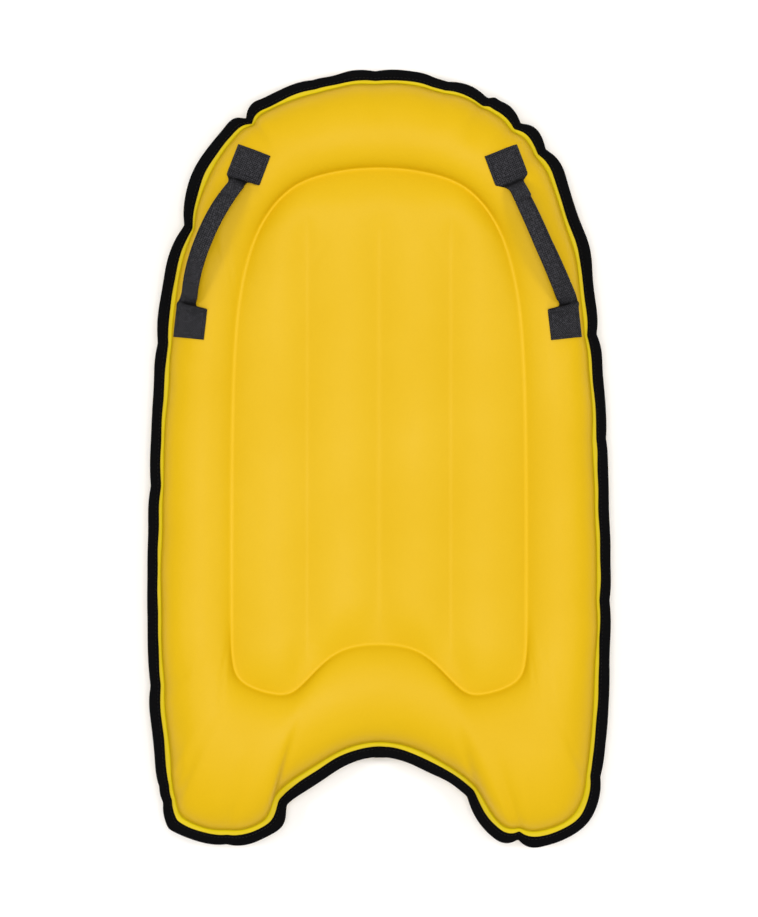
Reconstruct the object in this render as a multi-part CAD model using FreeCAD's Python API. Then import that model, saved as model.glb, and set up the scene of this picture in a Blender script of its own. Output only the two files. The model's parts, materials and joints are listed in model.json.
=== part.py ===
"""Inflatable bodyboard, in millimetres: +X right, +Y to the nose, +Z up, lying on its underside.

Two coated fabric panels are welded together at a flat flange round the edge.  Along one closed
loop inside it an upright inner wall joins them, which makes an outer tube and an inner mattress,
and three baffles divide the mattress into four channels.  Each panel is two solids, which meet
along the weld loop.  A folded tape binds the flange, two webbing handles are sewn to the deck,
and each air chamber has a stem valve underneath.  Everything is built about the middle plane,
z = 0, and raised at the end so that the board stands on z = 0.
"""
import FreeCAD, Part
import math
import os

from FreeCAD import Vector

# ---------------------------------------------------------------- driving dimensions

# Right half of the board, from the middle of the nose to the middle of the tail:
# (outer edge of the binding), (weld loop), height of the tube above the middle plane.
STATIONS = [
    ((0, 408), (0, 302), 40),
    ((80, 395), (50, 297), 40),
    ((135, 369), (88, 283), 38.5),
    ((175, 329), (115, 256), 36.5),
    ((198, 280), (132, 222), 34),
    ((215, 228), (143, 180), 32),
    ((229, 150), (150, 120), 31),
    ((238, 50), (153, 40), 30.5),
    ((242.5, -80), (154, -80), 30.5),
    ((242.5, -200), (154, -170), 32),
    ((235, -315), (152, -215), 37),
    ((222, -380), (140, -236), 40),
    ((170, -408), (108, -247), 40),
    ((112, -392), (84, -240), 38),
    ((92, -362), (68, -224), 36),
    ((55, -333), (42, -203), 36),
    ((0, -314.5), (0, -195), 36),
]
SUBDIVIDE = 2                # points on each offset curve for every station

FABRIC = 0.8                 # a coated fabric panel
FLANGE = 14.0                # from the board's edge to the root of the tube
WELD_HALF_WIDTH = 2.0        # half of the welded line between tube and mattress
WELD_HEIGHT = 22.0           # of the weld line above the middle plane, on top of an inner wall
INNER_SHOULDER = 0.35        # how far the tube's inner shoulder leans towards the board's edge

TAPE = 1.0                   # one layer of binding tape
TAPE_COVER = 11.0            # how far the tape covers each face of the flange
TAPE_GAP = 0.1               # between tape and panel
THREAD_INSET = 8.5           # binding stitch line, from the board's edge
THREAD_WIDTH = 0.8
THREAD_HEIGHT = 0.4

MATTRESS_CREST = 29.0        # height of a channel above the middle plane
VALLEY_DEPTH = 0.62          # of a channel's rise over the weld line
VALLEY_WIDTH = 16.0          # how far from a baffle the valley fades
MATTRESS_RIM = 42.0          # rounded border inside the weld loop
FRONT_CORNER = 3             # stations where the mattress's four sides meet
TAIL_CORNER = 11

BAFFLE_X = 75.0              # side baffles, either side of the centre one
BAFFLE_STRIP = 12.0          # width of the strips welded to the panels
BAFFLE_GAP = 0.25            # between strip and panel
CENTRE_BAFFLE_Y = (-165.0, 235.0)
SIDE_BAFFLE_Y = (-185.0, 215.0)

WEBBING = 1.6                # thickness of the handle webbing
WEBBING_GAP = 0.25           # between webbing and deck
FRONT_TAB = ((134.0, 307.5), 21.0)   # right tab's centre and how far it turns outward, degrees
REAR_TAB = ((195.5, 141.5), 6.5)
TAB_LENGTH = 31.0
FRONT_TAB_WIDTH = 35.0       # across, seen from above
REAR_TAB_WIDTH = 31.0
GRIP_WIDTH = 18.5            # the webbing folded lengthwise
GRIP_THICKNESS = 4.2
GRIP_RISE = 25.0             # height of the arc over the line between its ends
GRIP_SHARE = 0.64            # of the arc that moves as the grip; the rest bends
STRAP_SHIFT = 5.5            # the strap leaves each tab this far outward of its middle
ANCHOR_LIFT = 3.6            # hinge line above the deck, at its ends
LEFT_FLOP = 27.0             # how far each grip leans outward, degrees
RIGHT_FLOP = 4.0
BEND_WIDTH = 26.0            # of the strap where it leaves a tab
STITCH = 0.9                 # width of a row of stitches
STITCH_HEIGHT = 0.35
STITCH_INSET = 3.5           # of the rows from the webbing's edges

TUBE_VALVE = (0.0, -249.0)
MATTRESS_VALVE = (35.5, -125.0)
VALVE_FLANGE_R = 16.0
SKIN_HOLE_R = 7.6
COLLAR_R = 8.4
COLLAR_BORE_R = 7.0
COLLAR_LENGTH = 12.0
STEM_R = 6.93
STEM_BORE_R = 4.5
STEM_LENGTH = 16.0           # inside the panel
LIP_R = 8.5
LIP_HEIGHT = 1.2
PLUG_R = 4.44
PLUG_LENGTH = 7.0
CAP_R = 7.5
CAP_HEIGHT = 1.5
FLAP_R = 5.6
FLAP_THICKNESS = 0.6
VALVE_GAP = 0.06             # between pieces that touch end to end
LIP_CHECKS = 24              # points round the lip's rim where the panel's height is taken
TETHER_WIDTH = 3.0
TETHER_THICKNESS = 0.7
TETHER_REACH = 13.0          # from the valve's axis to where the tether turns back

UP = Vector(0, 0, 1)
nodes = {}                   # node name -> shape, about the middle plane


# ---------------------------------------------------------------- outlines

def mirrored_loop(half):
    """The whole closed loop of a right half that starts and ends on the board's centre line."""
    return half + [Vector(-p.x, p.y, p.z) for p in reversed(half[1:-1])]


def chord_parameters(points):
    """Distance along the closed polygon of points, with the closing value last."""
    parameters = [0.0]
    for here, after in zip(points, points[1:] + points[:1]):
        parameters.append(parameters[-1] + (after - here).Length)
    return parameters


def closed_curve(points, parameters):
    curve = Part.BSplineCurve()
    curve.interpolate(Points=points, PeriodicFlag=True, Parameters=parameters)
    return curve


EDGE_POINTS = mirrored_loop([Vector(x, y, 0) for (x, y), _, _ in STATIONS])
STATION_PARAMETERS = chord_parameters(EDGE_POINTS)
EDGE = closed_curve(EDGE_POINTS, STATION_PARAMETERS)
# The weld loop's z carries the tube's height, so one curve gives both.
LOOP = closed_curve(mirrored_loop([Vector(x, y, h) for _, (x, y), h in STATIONS]),
                    STATION_PARAMETERS)


def fine_parameters():
    """The station parameters with SUBDIVIDE steps between each pair."""
    fine = []
    for low, high in zip(STATION_PARAMETERS, STATION_PARAMETERS[1:]):
        fine += [low + (high - low) * k / SUBDIVIDE for k in range(SUBDIVIDE)]
    return fine + [STATION_PARAMETERS[-1]]


FINE = fine_parameters()


def inward(curve, parameter):
    """Unit normal of a closed clockwise curve in plan, towards its inside."""
    tangent = curve.tangent(parameter)[0]
    return Vector(tangent.y, -tangent.x, 0).normalize()


def edge_inset(distance, z=0.0):
    """Points of the board's edge moved inward, at the fine parameters."""
    return [EDGE.value(u) + inward(EDGE, u) * distance + UP * z for u in FINE[:-1]]


def loop_inset(distance, z=0.0):
    """Points of the weld loop moved inward, or outward where distance is negative."""
    points = []
    for u in FINE[:-1]:
        p = LOOP.value(u)
        points.append(Vector(p.x, p.y, z) + inward(LOOP, u) * distance)
    return points


def wire_through(points):
    return Part.Wire(closed_curve(points, FINE).toShape())


def face_between(outer, inner):
    return Part.makeFace([outer, inner], "Part::FaceMakerBullseye")


def solid_from(faces):
    shell = Part.makeShell(faces)
    shell.sewShape()
    solid = Part.makeSolid(shell)
    if solid.Volume < 0:
        solid.reverse()
    return solid


# ---------------------------------------------------------------- tube and mattress surfaces

def tube_surface(outer, inner, base, crown_drop):
    """The upper half of the tube: a cubic arch from the outer points to the inner ones.

    Its outer foot is at z = base and its inner foot at the weld line, as far above that as base
    is above 0.  Its crown is crown_drop below the station heights.
    """
    foot = base + WELD_HEIGHT
    heights = [LOOP.value(u).z - crown_drop for u in FINE[:-1]]
    # Half way along, a cubic has 3/8 of each middle pole and 1/8 of each end.
    shoulder = [(h - (base + foot) / 8) * 4 / 3 for h in heights]
    leaning = [i + (o - i) * INNER_SHOULDER for i, o in zip(inner, outer)]
    rows = [
        [Vector(p.x, p.y, base) for p in outer],
        [Vector(p.x, p.y, z) for p, z in zip(outer, shoulder)],
        [Vector(p.x, p.y, z) for p, z in zip(leaning, shoulder)],
        [Vector(p.x, p.y, foot) for p in inner],
    ]
    curves = [closed_curve(row, FINE) for row in rows]
    poles = [list(column) for column in zip(*[c.getPoles() for c in curves])]
    surface = Part.BSplineSurface()
    surface.buildFromPolesMultsKnots(
        poles, curves[0].getMultiplicities(), [4, 4], curves[0].getKnots(), [0.0, 1.0],
        True, False, 3, 3)
    return surface


def loop_parameter(axis, value, low, high):
    """Where the inner edge of the weld reaches a given x or y, between two parameters."""
    def reach(u):
        return getattr(weld_point(u), axis) - value
    rising = reach(high) > reach(low)
    for _ in range(50):
        middle = (low + high) / 2
        if (reach(middle) > 0) == rising:
            high = middle
        else:
            low = middle
    return (low + high) / 2


def weld_point(u):
    p = LOOP.value(u)
    return Vector(p.x, p.y, 0) + inward(LOOP, u) * WELD_HALF_WIDTH


def rim(distance):
    """Rises from 0 at the weld to 1 at the mattress's full height."""
    q = min(1.0, max(0.0, distance) / MATTRESS_RIM)
    return q * (2 - q)


def ease(value, low, high):
    q = min(1.0, max(0.0, (value - low) / (high - low)))
    return q * q * (3 - 2 * q)


def mattress_surface():
    """The mattress's upper skin, a grid of points over the inside of the weld loop."""
    across = [0, 0.12, 0.25, 0.38, 0.5, 0.61, 0.72, 0.82, 0.9, 0.96, 1.0]
    across = [-f for f in reversed(across[1:])] + across
    along = [0, 0.02, 0.045, 0.08, 0.13, 0.2, 0.3, 0.4, 0.5, 0.6, 0.7, 0.79, 0.86, 0.91, 0.95,
             0.98, 1.0]
    front, tail, last = (STATION_PARAMETERS[k] for k in (FRONT_CORNER, TAIL_CORNER, 16))
    front_corner, tail_corner = weld_point(front), weld_point(tail)

    def side(g):
        y = tail_corner.y + (front_corner.y - tail_corner.y) * g
        return weld_point(loop_parameter("y", y, front, tail))

    def end(f, corner, low, high):
        p = weld_point(loop_parameter("x", abs(f) * corner.x, low, high))
        return Vector(math.copysign(p.x, f) if f else 0.0, p.y, 0)

    rows = []
    for g in along:
        right = {0: tail_corner, 1: front_corner}.get(g) or side(g)
        row = []
        for f in across:
            if abs(f) == 1:
                p = Vector(f * right.x, right.y, 0)
            elif g in (0, 1):
                p = end(f, tail_corner, tail, last) if g == 0 else end(f, front_corner, 0, front)
            else:
                tail_end = end(f, tail_corner, tail, last)
                front_end = end(f, front_corner, 0, front)
                ends = tail_end * (1 - g) + front_end * g
                sides = Vector(f * right.x, right.y, 0)
                corners = tail_corner * (1 - g) + front_corner * g
                p = ends + sides - Vector(f * corners.x, corners.y, 0)
            height = rim((1 - abs(f)) * right.x) * rim(g * 430) * rim((1 - g) * 520)
            valley = sum(math.exp(-((p.x - x) / VALLEY_WIDTH) ** 2)
                         for x in (-BAFFLE_X, 0, BAFFLE_X))
            fade = 1 - ease(p.y, 215, 275)
            height *= 1 - VALLEY_DEPTH * valley * fade
            rise = (MATTRESS_CREST - FABRIC - WELD_HEIGHT) * height
            row.append(Vector(p.x, p.y, FABRIC + WELD_HEIGHT + rise))
        rows.append(row)
    surface = Part.BSplineSurface()
    surface.interpolate(rows)
    return surface


TUBE = tube_surface(edge_inset(FLANGE), loop_inset(-WELD_HALF_WIDTH), FABRIC, 0)
TUBE_INSIDE = tube_surface(edge_inset(FLANGE + FABRIC), loop_inset(-WELD_HALF_WIDTH - FABRIC),
                           0, FABRIC)
MATTRESS = mattress_surface()


# ---------------------------------------------------------------- skins

def tube_skin():
    """The outer part of the upper panel: flange, half of the tube, and the weld band."""
    cut_edge = TAPE + TAPE_GAP
    weld_edge = MATTRESS.toShape().OuterWire
    weld_edge_below = weld_edge.translated(Vector(0, 0, -FABRIC))
    faces = [
        TUBE.toShape(),
        TUBE_INSIDE.toShape(),
        face_between(wire_through(edge_inset(cut_edge, FABRIC)),
                     wire_through(edge_inset(FLANGE, FABRIC))),
        face_between(wire_through(edge_inset(cut_edge)),
                     wire_through(edge_inset(FLANGE + FABRIC))),
        face_between(wire_through(loop_inset(-WELD_HALF_WIDTH, WELD_HEIGHT + FABRIC)), weld_edge),
        face_between(wire_through(loop_inset(-WELD_HALF_WIDTH - FABRIC, WELD_HEIGHT)),
                     weld_edge_below),
    ]
    faces += wire_through(edge_inset(cut_edge)).extrude(UP * FABRIC).Faces
    return solid_from(faces + weld_edge_below.extrude(UP * FABRIC).Faces)


def mattress_skin():
    """The part of the upper panel inside the weld loop, over the four channels."""
    upper = MATTRESS.toShape()
    lower = upper.translated(Vector(0, 0, -FABRIC))
    return solid_from([upper, lower] + lower.OuterWire.extrude(UP * FABRIC).Faces)


def inner_wall():
    """The upright strip that joins the two panels along the weld line."""
    half, reach = FABRIC / 2, WELD_HEIGHT - BAFFLE_GAP
    wall = face_between(wire_through(loop_inset(-half, -reach)),
                        wire_through(loop_inset(half, -reach)))
    return wall.extrude(UP * (2 * reach))


def flipped(shape):
    """The same shape on the other side of the middle plane."""
    return shape.mirror(Vector(0, 0, 0), UP)


def cylinder(x, y, z, radius, height):
    return Part.makeCylinder(radius, height, Vector(x, y, z))


def section_heights(x):
    """The mattress's inside along a line of constant x, as (y, z) pairs in order of y."""
    wires = MATTRESS.toShape().translated(Vector(0, 0, -FABRIC)).slice(Vector(1, 0, 0), x)
    points = [(p.y, p.z) for wire in wires for p in wire.discretize(240)]
    return sorted(points)


def height_at(section, y):
    for (y0, z0), (y1, z1) in zip(section, section[1:]):
        if y0 <= y <= y1:
            return z0 + (z1 - z0) * (y - y0) / max(y1 - y0, 1e-9)
    raise ValueError("no mattress at y = %g" % y)


def baffle(x, y_range):
    """An I-section strip: a web from panel to panel, with a welded strip along each edge."""
    half = BAFFLE_STRIP / 2
    sections = [section_heights(x + dx) for dx in (-half, 0, half)]
    steps = 20
    ys = [y_range[0] + (y_range[1] - y_range[0]) * k / steps for k in range(steps + 1)]
    top = [Vector(x, y, min(height_at(s, y) for s in sections) - BAFFLE_GAP) for y in ys]

    def band(lower, upper, width):
        """A slab of the given width in x between two curves of the x plane."""
        low, high = Part.BSplineCurve(), Part.BSplineCurve()
        low.interpolate(Points=lower)
        high.interpolate(Points=upper)
        wire = Part.Wire([low.toShape(), Part.makeLine(lower[-1], upper[-1]), high.toShape(),
                          Part.makeLine(lower[0], upper[0])])
        slab = Part.Face(wire).extrude(Vector(width, 0, 0))
        return slab.translated(Vector(-width / 2, 0, 0))

    under_top = [p - UP * FABRIC for p in top]
    strip = band(under_top, top, BAFFLE_STRIP)
    web = band([Vector(p.x, p.y, -p.z) for p in under_top], under_top, FABRIC)
    return web.fuse([strip, flipped(strip)]).removeSplitter()


# ---------------------------------------------------------------- binding

def ring_slab(outer_inset, inner_inset, low, high):
    """A flat band of constant width along the board's edge, between two heights."""
    face = face_between(wire_through(edge_inset(outer_inset, low)),
                        wire_through(edge_inset(inner_inset, low)))
    return face.extrude(UP * (high - low))


def edge_binding():
    outside = FABRIC + TAPE_GAP + TAPE
    inside = FABRIC + TAPE_GAP
    folded = ring_slab(0, TAPE_COVER, -outside, outside)
    return folded.cut(ring_slab(TAPE, TAPE_COVER + 1, -inside, inside))


def binding_thread():
    low = FABRIC + TAPE_GAP + TAPE + 0.02
    return ring_slab(THREAD_INSET, THREAD_INSET + THREAD_WIDTH, low, low + THREAD_HEIGHT)


# ---------------------------------------------------------------- handles

def deck_point(x, y):
    """The point of the tube's upper skin over (x, y), and its outward normal."""
    probe = Vector(x, y, 40)
    for _ in range(12):
        u, v = TUBE.parameter(probe)
        foot, normal = TUBE.value(u, v), TUBE.normal(u, v)
        if normal.z < 0:
            normal = -normal
        slope = normal.x * (x - foot.x) + normal.y * (y - foot.y)
        probe = Vector(x, y, foot.z - slope / normal.z)
    return foot, normal


def draped(place, along, across):
    """A surface just over the deck that is a rectangle when seen from above.

    place is (centre, turn), where turn is the angle of its length from -Y towards +X; along and
    across are its (low, high) from the centre.  Gives the surface and its mean outward normal.
    """
    (x, y), turn = place
    forward, sideways = plan_directions(turn)
    rows, total = [], Vector()
    for i in range(5):
        row = []
        for k in range(7):
            p = (Vector(x, y, 0) + forward * (along[0] + (along[1] - along[0]) * i / 4)
                 + sideways * (across[0] + (across[1] - across[0]) * k / 6))
            foot, normal = deck_point(p.x, p.y)
            row.append(foot + normal * WEBBING_GAP)
            total += normal
        rows.append(row)
    surface = Part.BSplineSurface()
    surface.interpolate(rows)
    return surface.toShape(), total.normalize()


def plan_directions(turn):
    """Unit vectors along and across something turned from -Y towards +X."""
    angle = math.radians(turn)
    return (Vector(math.sin(angle), -math.cos(angle), 0),
            Vector(math.cos(angle), math.sin(angle), 0))


def handle_tab(place, width):
    face, normal = draped(place, (-TAB_LENGTH / 2, TAB_LENGTH / 2), (-width / 2, width / 2))
    return face.extrude(normal * WEBBING)


def tab_stitches(place, width):
    """A box of stitch rows on a tab, with a second row at each end."""
    _, normal = draped(place, (-TAB_LENGTH / 2, TAB_LENGTH / 2), (-width / 2, width / 2))
    far, wide = TAB_LENGTH / 2 - STITCH_INSET, width / 2 - STITCH_INSET
    rows = [((y, y + STITCH), (-wide + 2 * STITCH, wide - 2 * STITCH))
            for y in (-far, -far + STITCH_INSET, far - STITCH_INSET, far)]
    rows += [((-far, far + STITCH), (x, x + STITCH)) for x in (-wide, wide - STITCH)]
    stitches = []
    for along, across in rows:
        face, _ = draped(place, along, across)
        stitches.append(face.translated(normal * (WEBBING + 0.05)).extrude(normal * STITCH_HEIGHT))
    return stitches


def anchor(place, end):
    """Where the strap leaves a right-hand tab: end is +1 for its rear edge, -1 for its front."""
    (x, y), turn = place
    forward, outward = plan_directions(turn)
    plan = Vector(x, y, 0) + forward * (end * (TAB_LENGTH / 2 + 1)) + outward * STRAP_SHIFT
    foot, normal = deck_point(plan.x, plan.y)
    return foot, normal, forward * end


class GripArc:
    """The arc of the right-hand strap, leaning outward by an angle about its two anchors."""

    def __init__(self, flop):
        front, front_normal, _ = anchor(FRONT_TAB, 1)
        rear, rear_normal, _ = anchor(REAR_TAB, -1)
        self.front = front + front_normal * ANCHOR_LIFT
        self.rear = rear + rear_normal * ANCHOR_LIFT
        chord = self.rear - self.front
        self.axis = Vector(chord).normalize()
        upright = (UP - self.axis * UP.dot(self.axis)).normalize()
        outward = upright.cross(self.axis)
        lean = math.radians(flop)
        self.rise = upright * math.cos(lean) + outward * math.sin(lean)
        self.across = self.axis.cross(self.rise)
        self.radius = (chord.Length ** 2 / 4 + GRIP_RISE ** 2) / (2 * GRIP_RISE)
        self.centre = (self.front + self.rear) / 2 - self.rise * (self.radius - GRIP_RISE)
        self.half_angle = math.degrees(math.asin(chord.Length / 2 / self.radius))

    def frame(self, angle):
        """Point, outward direction and direction of travel at an angle from the arc's top."""
        a = math.radians(angle)
        out = self.rise * math.cos(a) + self.axis * math.sin(a)
        along = self.axis * math.cos(a) - self.rise * math.sin(a)
        return self.centre + out * self.radius, out, along

    def swept(self, wire_at, angle):
        """A section at -angle, revolved to +angle."""
        return Part.Face(wire_at(-angle)).revolve(self.centre, -self.across, 2 * angle)

    def section(self, angle, width, low, high, offset=0.0):
        """A flat-sided, round-edged section between two heights from the arc's middle line."""
        point, out, _ = self.frame(angle)
        return rounded_section(point + out * (low + high) / 2 + self.across * offset, out,
                               self.across, width, high - low)


def rounded_section(middle, out, across, width, thickness):
    """A rectangle with half-round ends, as a wire."""
    r = thickness / 2
    flat = width / 2 - r
    corner = {(i, k): middle + across * (i * flat) + out * (k * r) for i in (-1, 1) for k in (-1, 1)}
    return Part.Wire([
        Part.makeLine(corner[-1, -1], corner[1, -1]),
        Part.Arc(corner[1, -1], middle + across * (width / 2), corner[1, 1]).toShape(),
        Part.makeLine(corner[1, 1], corner[-1, 1]),
        Part.Arc(corner[-1, 1], middle - across * (width / 2), corner[-1, -1]).toShape(),
    ])


def strap_bend(arc, place, end):
    """The strap between a tab and the grip: flat and wide at the tab, folded at the grip."""
    foot, normal, travel = anchor(place, end)
    sideways = travel.cross(normal).normalize()
    if sideways.dot(arc.across) < 0:
        sideways = -sideways
    flat = rounded_section(foot + normal * (WEBBING_GAP + WEBBING), normal, sideways,
                           BEND_WIDTH, WEBBING)
    sign = -end                      # the front tab's strap starts at the arc's negative angles
    grip_end = arc.half_angle * GRIP_SHARE + 0.15
    turn_in = arc.half_angle * 0.84
    return Part.makeLoft([
        flat,
        arc.section(sign * turn_in, GRIP_WIDTH + 2, -1.6, 1.6),
        arc.section(sign * grip_end, GRIP_WIDTH, -GRIP_THICKNESS / 2, GRIP_THICKNESS / 2),
    ], True)


def add_handle(side, flop):
    """One webbing handle: side is 'left' or 'right'."""
    arc = GripArc(flop)
    half = GRIP_THICKNESS / 2
    grip_angle = arc.half_angle * GRIP_SHARE
    seam_offset = GRIP_WIDTH / 2 - STITCH_INSET
    seam_low = half + 0.05
    pieces = {
        "front_tab": handle_tab(FRONT_TAB, FRONT_TAB_WIDTH),
        "rear_tab": handle_tab(REAR_TAB, REAR_TAB_WIDTH),
        "tab_stitching": Part.makeCompound(tab_stitches(FRONT_TAB, FRONT_TAB_WIDTH)
                                           + tab_stitches(REAR_TAB, REAR_TAB_WIDTH)),
        "front_bend": strap_bend(arc, FRONT_TAB, 1),
        "rear_bend": strap_bend(arc, REAR_TAB, -1),
        "grip": arc.swept(lambda a: arc.section(a, GRIP_WIDTH, -half, half), grip_angle),
        "grip_seam": arc.swept(lambda a: arc.section(a, STITCH * 1.5, seam_low,
                                                     seam_low + STITCH_HEIGHT, seam_offset),
                               grip_angle - 1),
    }
    for name, shape in pieces.items():
        if side == "left":
            shape = shape.mirror(Vector(0, 0, 0), Vector(1, 0, 0))
        nodes["%s_handle_%s" % (side, name)] = shape


# ---------------------------------------------------------------- valves

def tube_skin_height(x, y):
    return deck_point(x, y)[0].z


def mattress_skin_height(x, y):
    return height_at(section_heights(x), y) + FABRIC


def lip_top(place, skin_height):
    """The height of the lip's upper face, clear of the lowest part of the panel above it."""
    x, y = place
    around = [2 * math.pi * i / LIP_CHECKS for i in range(LIP_CHECKS)]
    heights = [skin_height(x + LIP_R * math.cos(a), y + LIP_R * math.sin(a)) for a in around]
    return -max(heights + [skin_height(x, y)]) - VALVE_GAP


def add_valve(name, place, skin_height, slick):
    """An oral stem valve in the underside, its stem pushed in and its cap on."""
    x, y = place
    skin = -skin_height(x, y)                     # the panel's outer face on the valve's axis

    weld_gap = 0.15
    raised = slick.translated(UP * (FABRIC + weld_gap))
    disc = raised.common(cylinder(x, y, skin - 5, VALVE_FLANGE_R, 20))
    collar_foot = skin + FABRIC + weld_gap + FABRIC * 0.8
    collar = cylinder(x, y, collar_foot, COLLAR_R, COLLAR_LENGTH)
    bore = cylinder(x, y, skin - 5, COLLAR_BORE_R, COLLAR_LENGTH + 20)
    nodes[name + "_flange"] = disc.fuse(collar).cut(bore)

    seat = lip_top(place, skin_height)
    lip = cylinder(x, y, seat - LIP_HEIGHT, LIP_R, LIP_HEIGHT)
    barrel = cylinder(x, y, seat, STEM_R, STEM_LENGTH)
    stem_bore = cylinder(x, y, seat - LIP_HEIGHT - 1, STEM_BORE_R, STEM_LENGTH + 5)
    nodes[name + "_stem"] = lip.fuse(barrel).cut(stem_bore).removeSplitter()

    flap_foot = seat + STEM_LENGTH + VALVE_GAP
    nodes[name + "_flap"] = cylinder(x, y, flap_foot, FLAP_R, FLAP_THICKNESS)

    cap_top = seat - LIP_HEIGHT - VALVE_GAP
    head = cylinder(x, y, cap_top - CAP_HEIGHT, CAP_R, CAP_HEIGHT)
    plug = cylinder(x, y, cap_top, PLUG_R, PLUG_LENGTH)
    nodes[name + "_cap"] = head.fuse(plug).removeSplitter()

    nodes[name + "_tether"] = tether(x, y, seat - LIP_HEIGHT / 2, cap_top - CAP_HEIGHT / 2)
    return skin


def tether(x, y, lip_z, cap_z):
    """A strip bent back on itself, from the stem's lip out to the side and in to the cap."""
    half = TETHER_THICKNESS / 2
    middle = (lip_z + cap_z) / 2
    outer, inner = (lip_z - cap_z) / 2 + half, (lip_z - cap_z) / 2 - half
    lip_x, cap_x, turn_x = x + LIP_R + 0.1, x + CAP_R + 0.1, x + TETHER_REACH

    def at(px, pz):
        return Vector(px, y - TETHER_WIDTH / 2, pz)

    outline = Part.Wire([
        Part.makeLine(at(lip_x, middle + outer), at(turn_x, middle + outer)),
        Part.Arc(at(turn_x, middle + outer), at(turn_x + outer, middle),
                 at(turn_x, middle - outer)).toShape(),
        Part.makeLine(at(turn_x, middle - outer), at(cap_x, middle - outer)),
        Part.makeLine(at(cap_x, middle - outer), at(cap_x, middle - inner)),
        Part.makeLine(at(cap_x, middle - inner), at(turn_x, middle - inner)),
        Part.Arc(at(turn_x, middle - inner), at(turn_x + inner, middle),
                 at(turn_x, middle + inner)).toShape(),
        Part.makeLine(at(turn_x, middle + inner), at(lip_x, middle + inner)),
        Part.makeLine(at(lip_x, middle + inner), at(lip_x, middle + outer)),
    ])
    return Part.Face(outline).extrude(Vector(0, TETHER_WIDTH, 0))


# ---------------------------------------------------------------- the whole board

def build():
    nodes["tube_deck_skin"] = tube_skin()
    nodes["mattress_deck_skin"] = mattress_skin()
    nodes["edge_binding"] = edge_binding()
    nodes["binding_deck_thread"] = binding_thread()
    nodes["binding_slick_thread"] = flipped(nodes["binding_deck_thread"])
    nodes["centre_baffle"] = baffle(0, CENTRE_BAFFLE_Y)
    nodes["right_baffle"] = baffle(BAFFLE_X, SIDE_BAFFLE_Y)
    nodes["left_baffle"] = baffle(-BAFFLE_X, SIDE_BAFFLE_Y)
    nodes["inner_wall"] = inner_wall()
    add_handle("left", LEFT_FLOP)
    add_handle("right", RIGHT_FLOP)
    for chamber, place, skin_height in (("tube", TUBE_VALVE, tube_skin_height),
                                        ("mattress", MATTRESS_VALVE, mattress_skin_height)):
        slick = flipped(nodes[chamber + "_deck_skin"])
        skin = add_valve(chamber + "_valve", place, skin_height, slick)
        hole = cylinder(place[0], place[1], skin - 5, SKIN_HOLE_R, 12)
        nodes[chamber + "_slick_skin"] = slick.cut(hole)


def base_shift():
    """Moves the board so that it stands on z = 0 with its box centred on the Z axis."""
    box = Part.makeCompound(list(nodes.values())).optimalBoundingBox(False, False)
    return Vector(-(box.XMin + box.XMax) / 2, -(box.YMin + box.YMax) / 2, -box.ZMin)


build()
SHIFT = base_shift()
os.makedirs("parts", exist_ok=True)
for node, shape in nodes.items():
    shape.translated(SHIFT).exportStep("parts/%s.step" % node)
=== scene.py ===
"""The looks of an inflatable bodyboard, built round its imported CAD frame.

Lengths are written in millimetres about the board's middle plane, as in the part's source, and
become metres in the row frame through place().
"""

import json
import math

import bmesh
import bpy
import numpy as np
from mathutils import Matrix, Vector
from mathutils.bvhtree import BVHTree


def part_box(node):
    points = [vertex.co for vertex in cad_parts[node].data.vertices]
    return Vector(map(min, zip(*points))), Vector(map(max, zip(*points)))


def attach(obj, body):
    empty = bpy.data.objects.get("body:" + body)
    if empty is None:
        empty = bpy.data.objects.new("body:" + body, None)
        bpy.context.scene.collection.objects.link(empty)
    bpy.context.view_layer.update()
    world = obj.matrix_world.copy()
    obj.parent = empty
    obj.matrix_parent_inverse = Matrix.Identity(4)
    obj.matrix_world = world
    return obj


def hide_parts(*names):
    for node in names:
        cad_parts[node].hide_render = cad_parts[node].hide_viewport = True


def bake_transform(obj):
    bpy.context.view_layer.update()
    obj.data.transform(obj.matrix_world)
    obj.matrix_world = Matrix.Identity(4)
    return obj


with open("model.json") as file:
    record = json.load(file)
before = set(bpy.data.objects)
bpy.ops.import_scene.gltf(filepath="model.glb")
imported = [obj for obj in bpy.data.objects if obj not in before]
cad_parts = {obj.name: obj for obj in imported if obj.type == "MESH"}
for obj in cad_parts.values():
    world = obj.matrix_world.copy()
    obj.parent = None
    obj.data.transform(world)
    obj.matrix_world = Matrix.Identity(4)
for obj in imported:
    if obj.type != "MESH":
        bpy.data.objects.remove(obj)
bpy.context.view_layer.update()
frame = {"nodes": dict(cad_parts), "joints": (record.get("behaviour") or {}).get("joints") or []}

MM = 0.001
NOSE_Y = 408.0

# Right half of the board, nose to tail: the edge, the weld loop, and the tube's half height.
STATIONS = [
    ((0, NOSE_Y), (0, 302), 40),
    ((80, 395), (50, 297), 40),
    ((135, 369), (88, 283), 38.5),
    ((175, 329), (115, 256), 36.5),
    ((198, 280), (132, 222), 34),
    ((215, 228), (143, 180), 32),
    ((229, 150), (150, 120), 31),
    ((238, 50), (153, 40), 30.5),
    ((242.5, -80), (154, -80), 30.5),
    ((242.5, -200), (154, -170), 32),
    ((235, -315), (152, -215), 37),
    ((222, -380), (140, -236), 40),
    ((170, -408), (108, -247), 40),
    ((112, -392), (84, -240), 38),
    ((92, -362), (68, -224), 36),
    ((55, -333), (42, -203), 36),
    ((0, -314.5), (0, -195), 36),
]
FRONT_CORNER = 3                 # stations where the mattress's four sides meet
TAIL_CORNER = 11
HALF_NOSE = 40                   # mesh columns from the nose to a front corner
SIDE = 110                       # and along one side
HALF_TAIL = 40                   # and from a tail corner to the notch
ARCH_ROWS = 24                   # mesh rows over the tube

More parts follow.
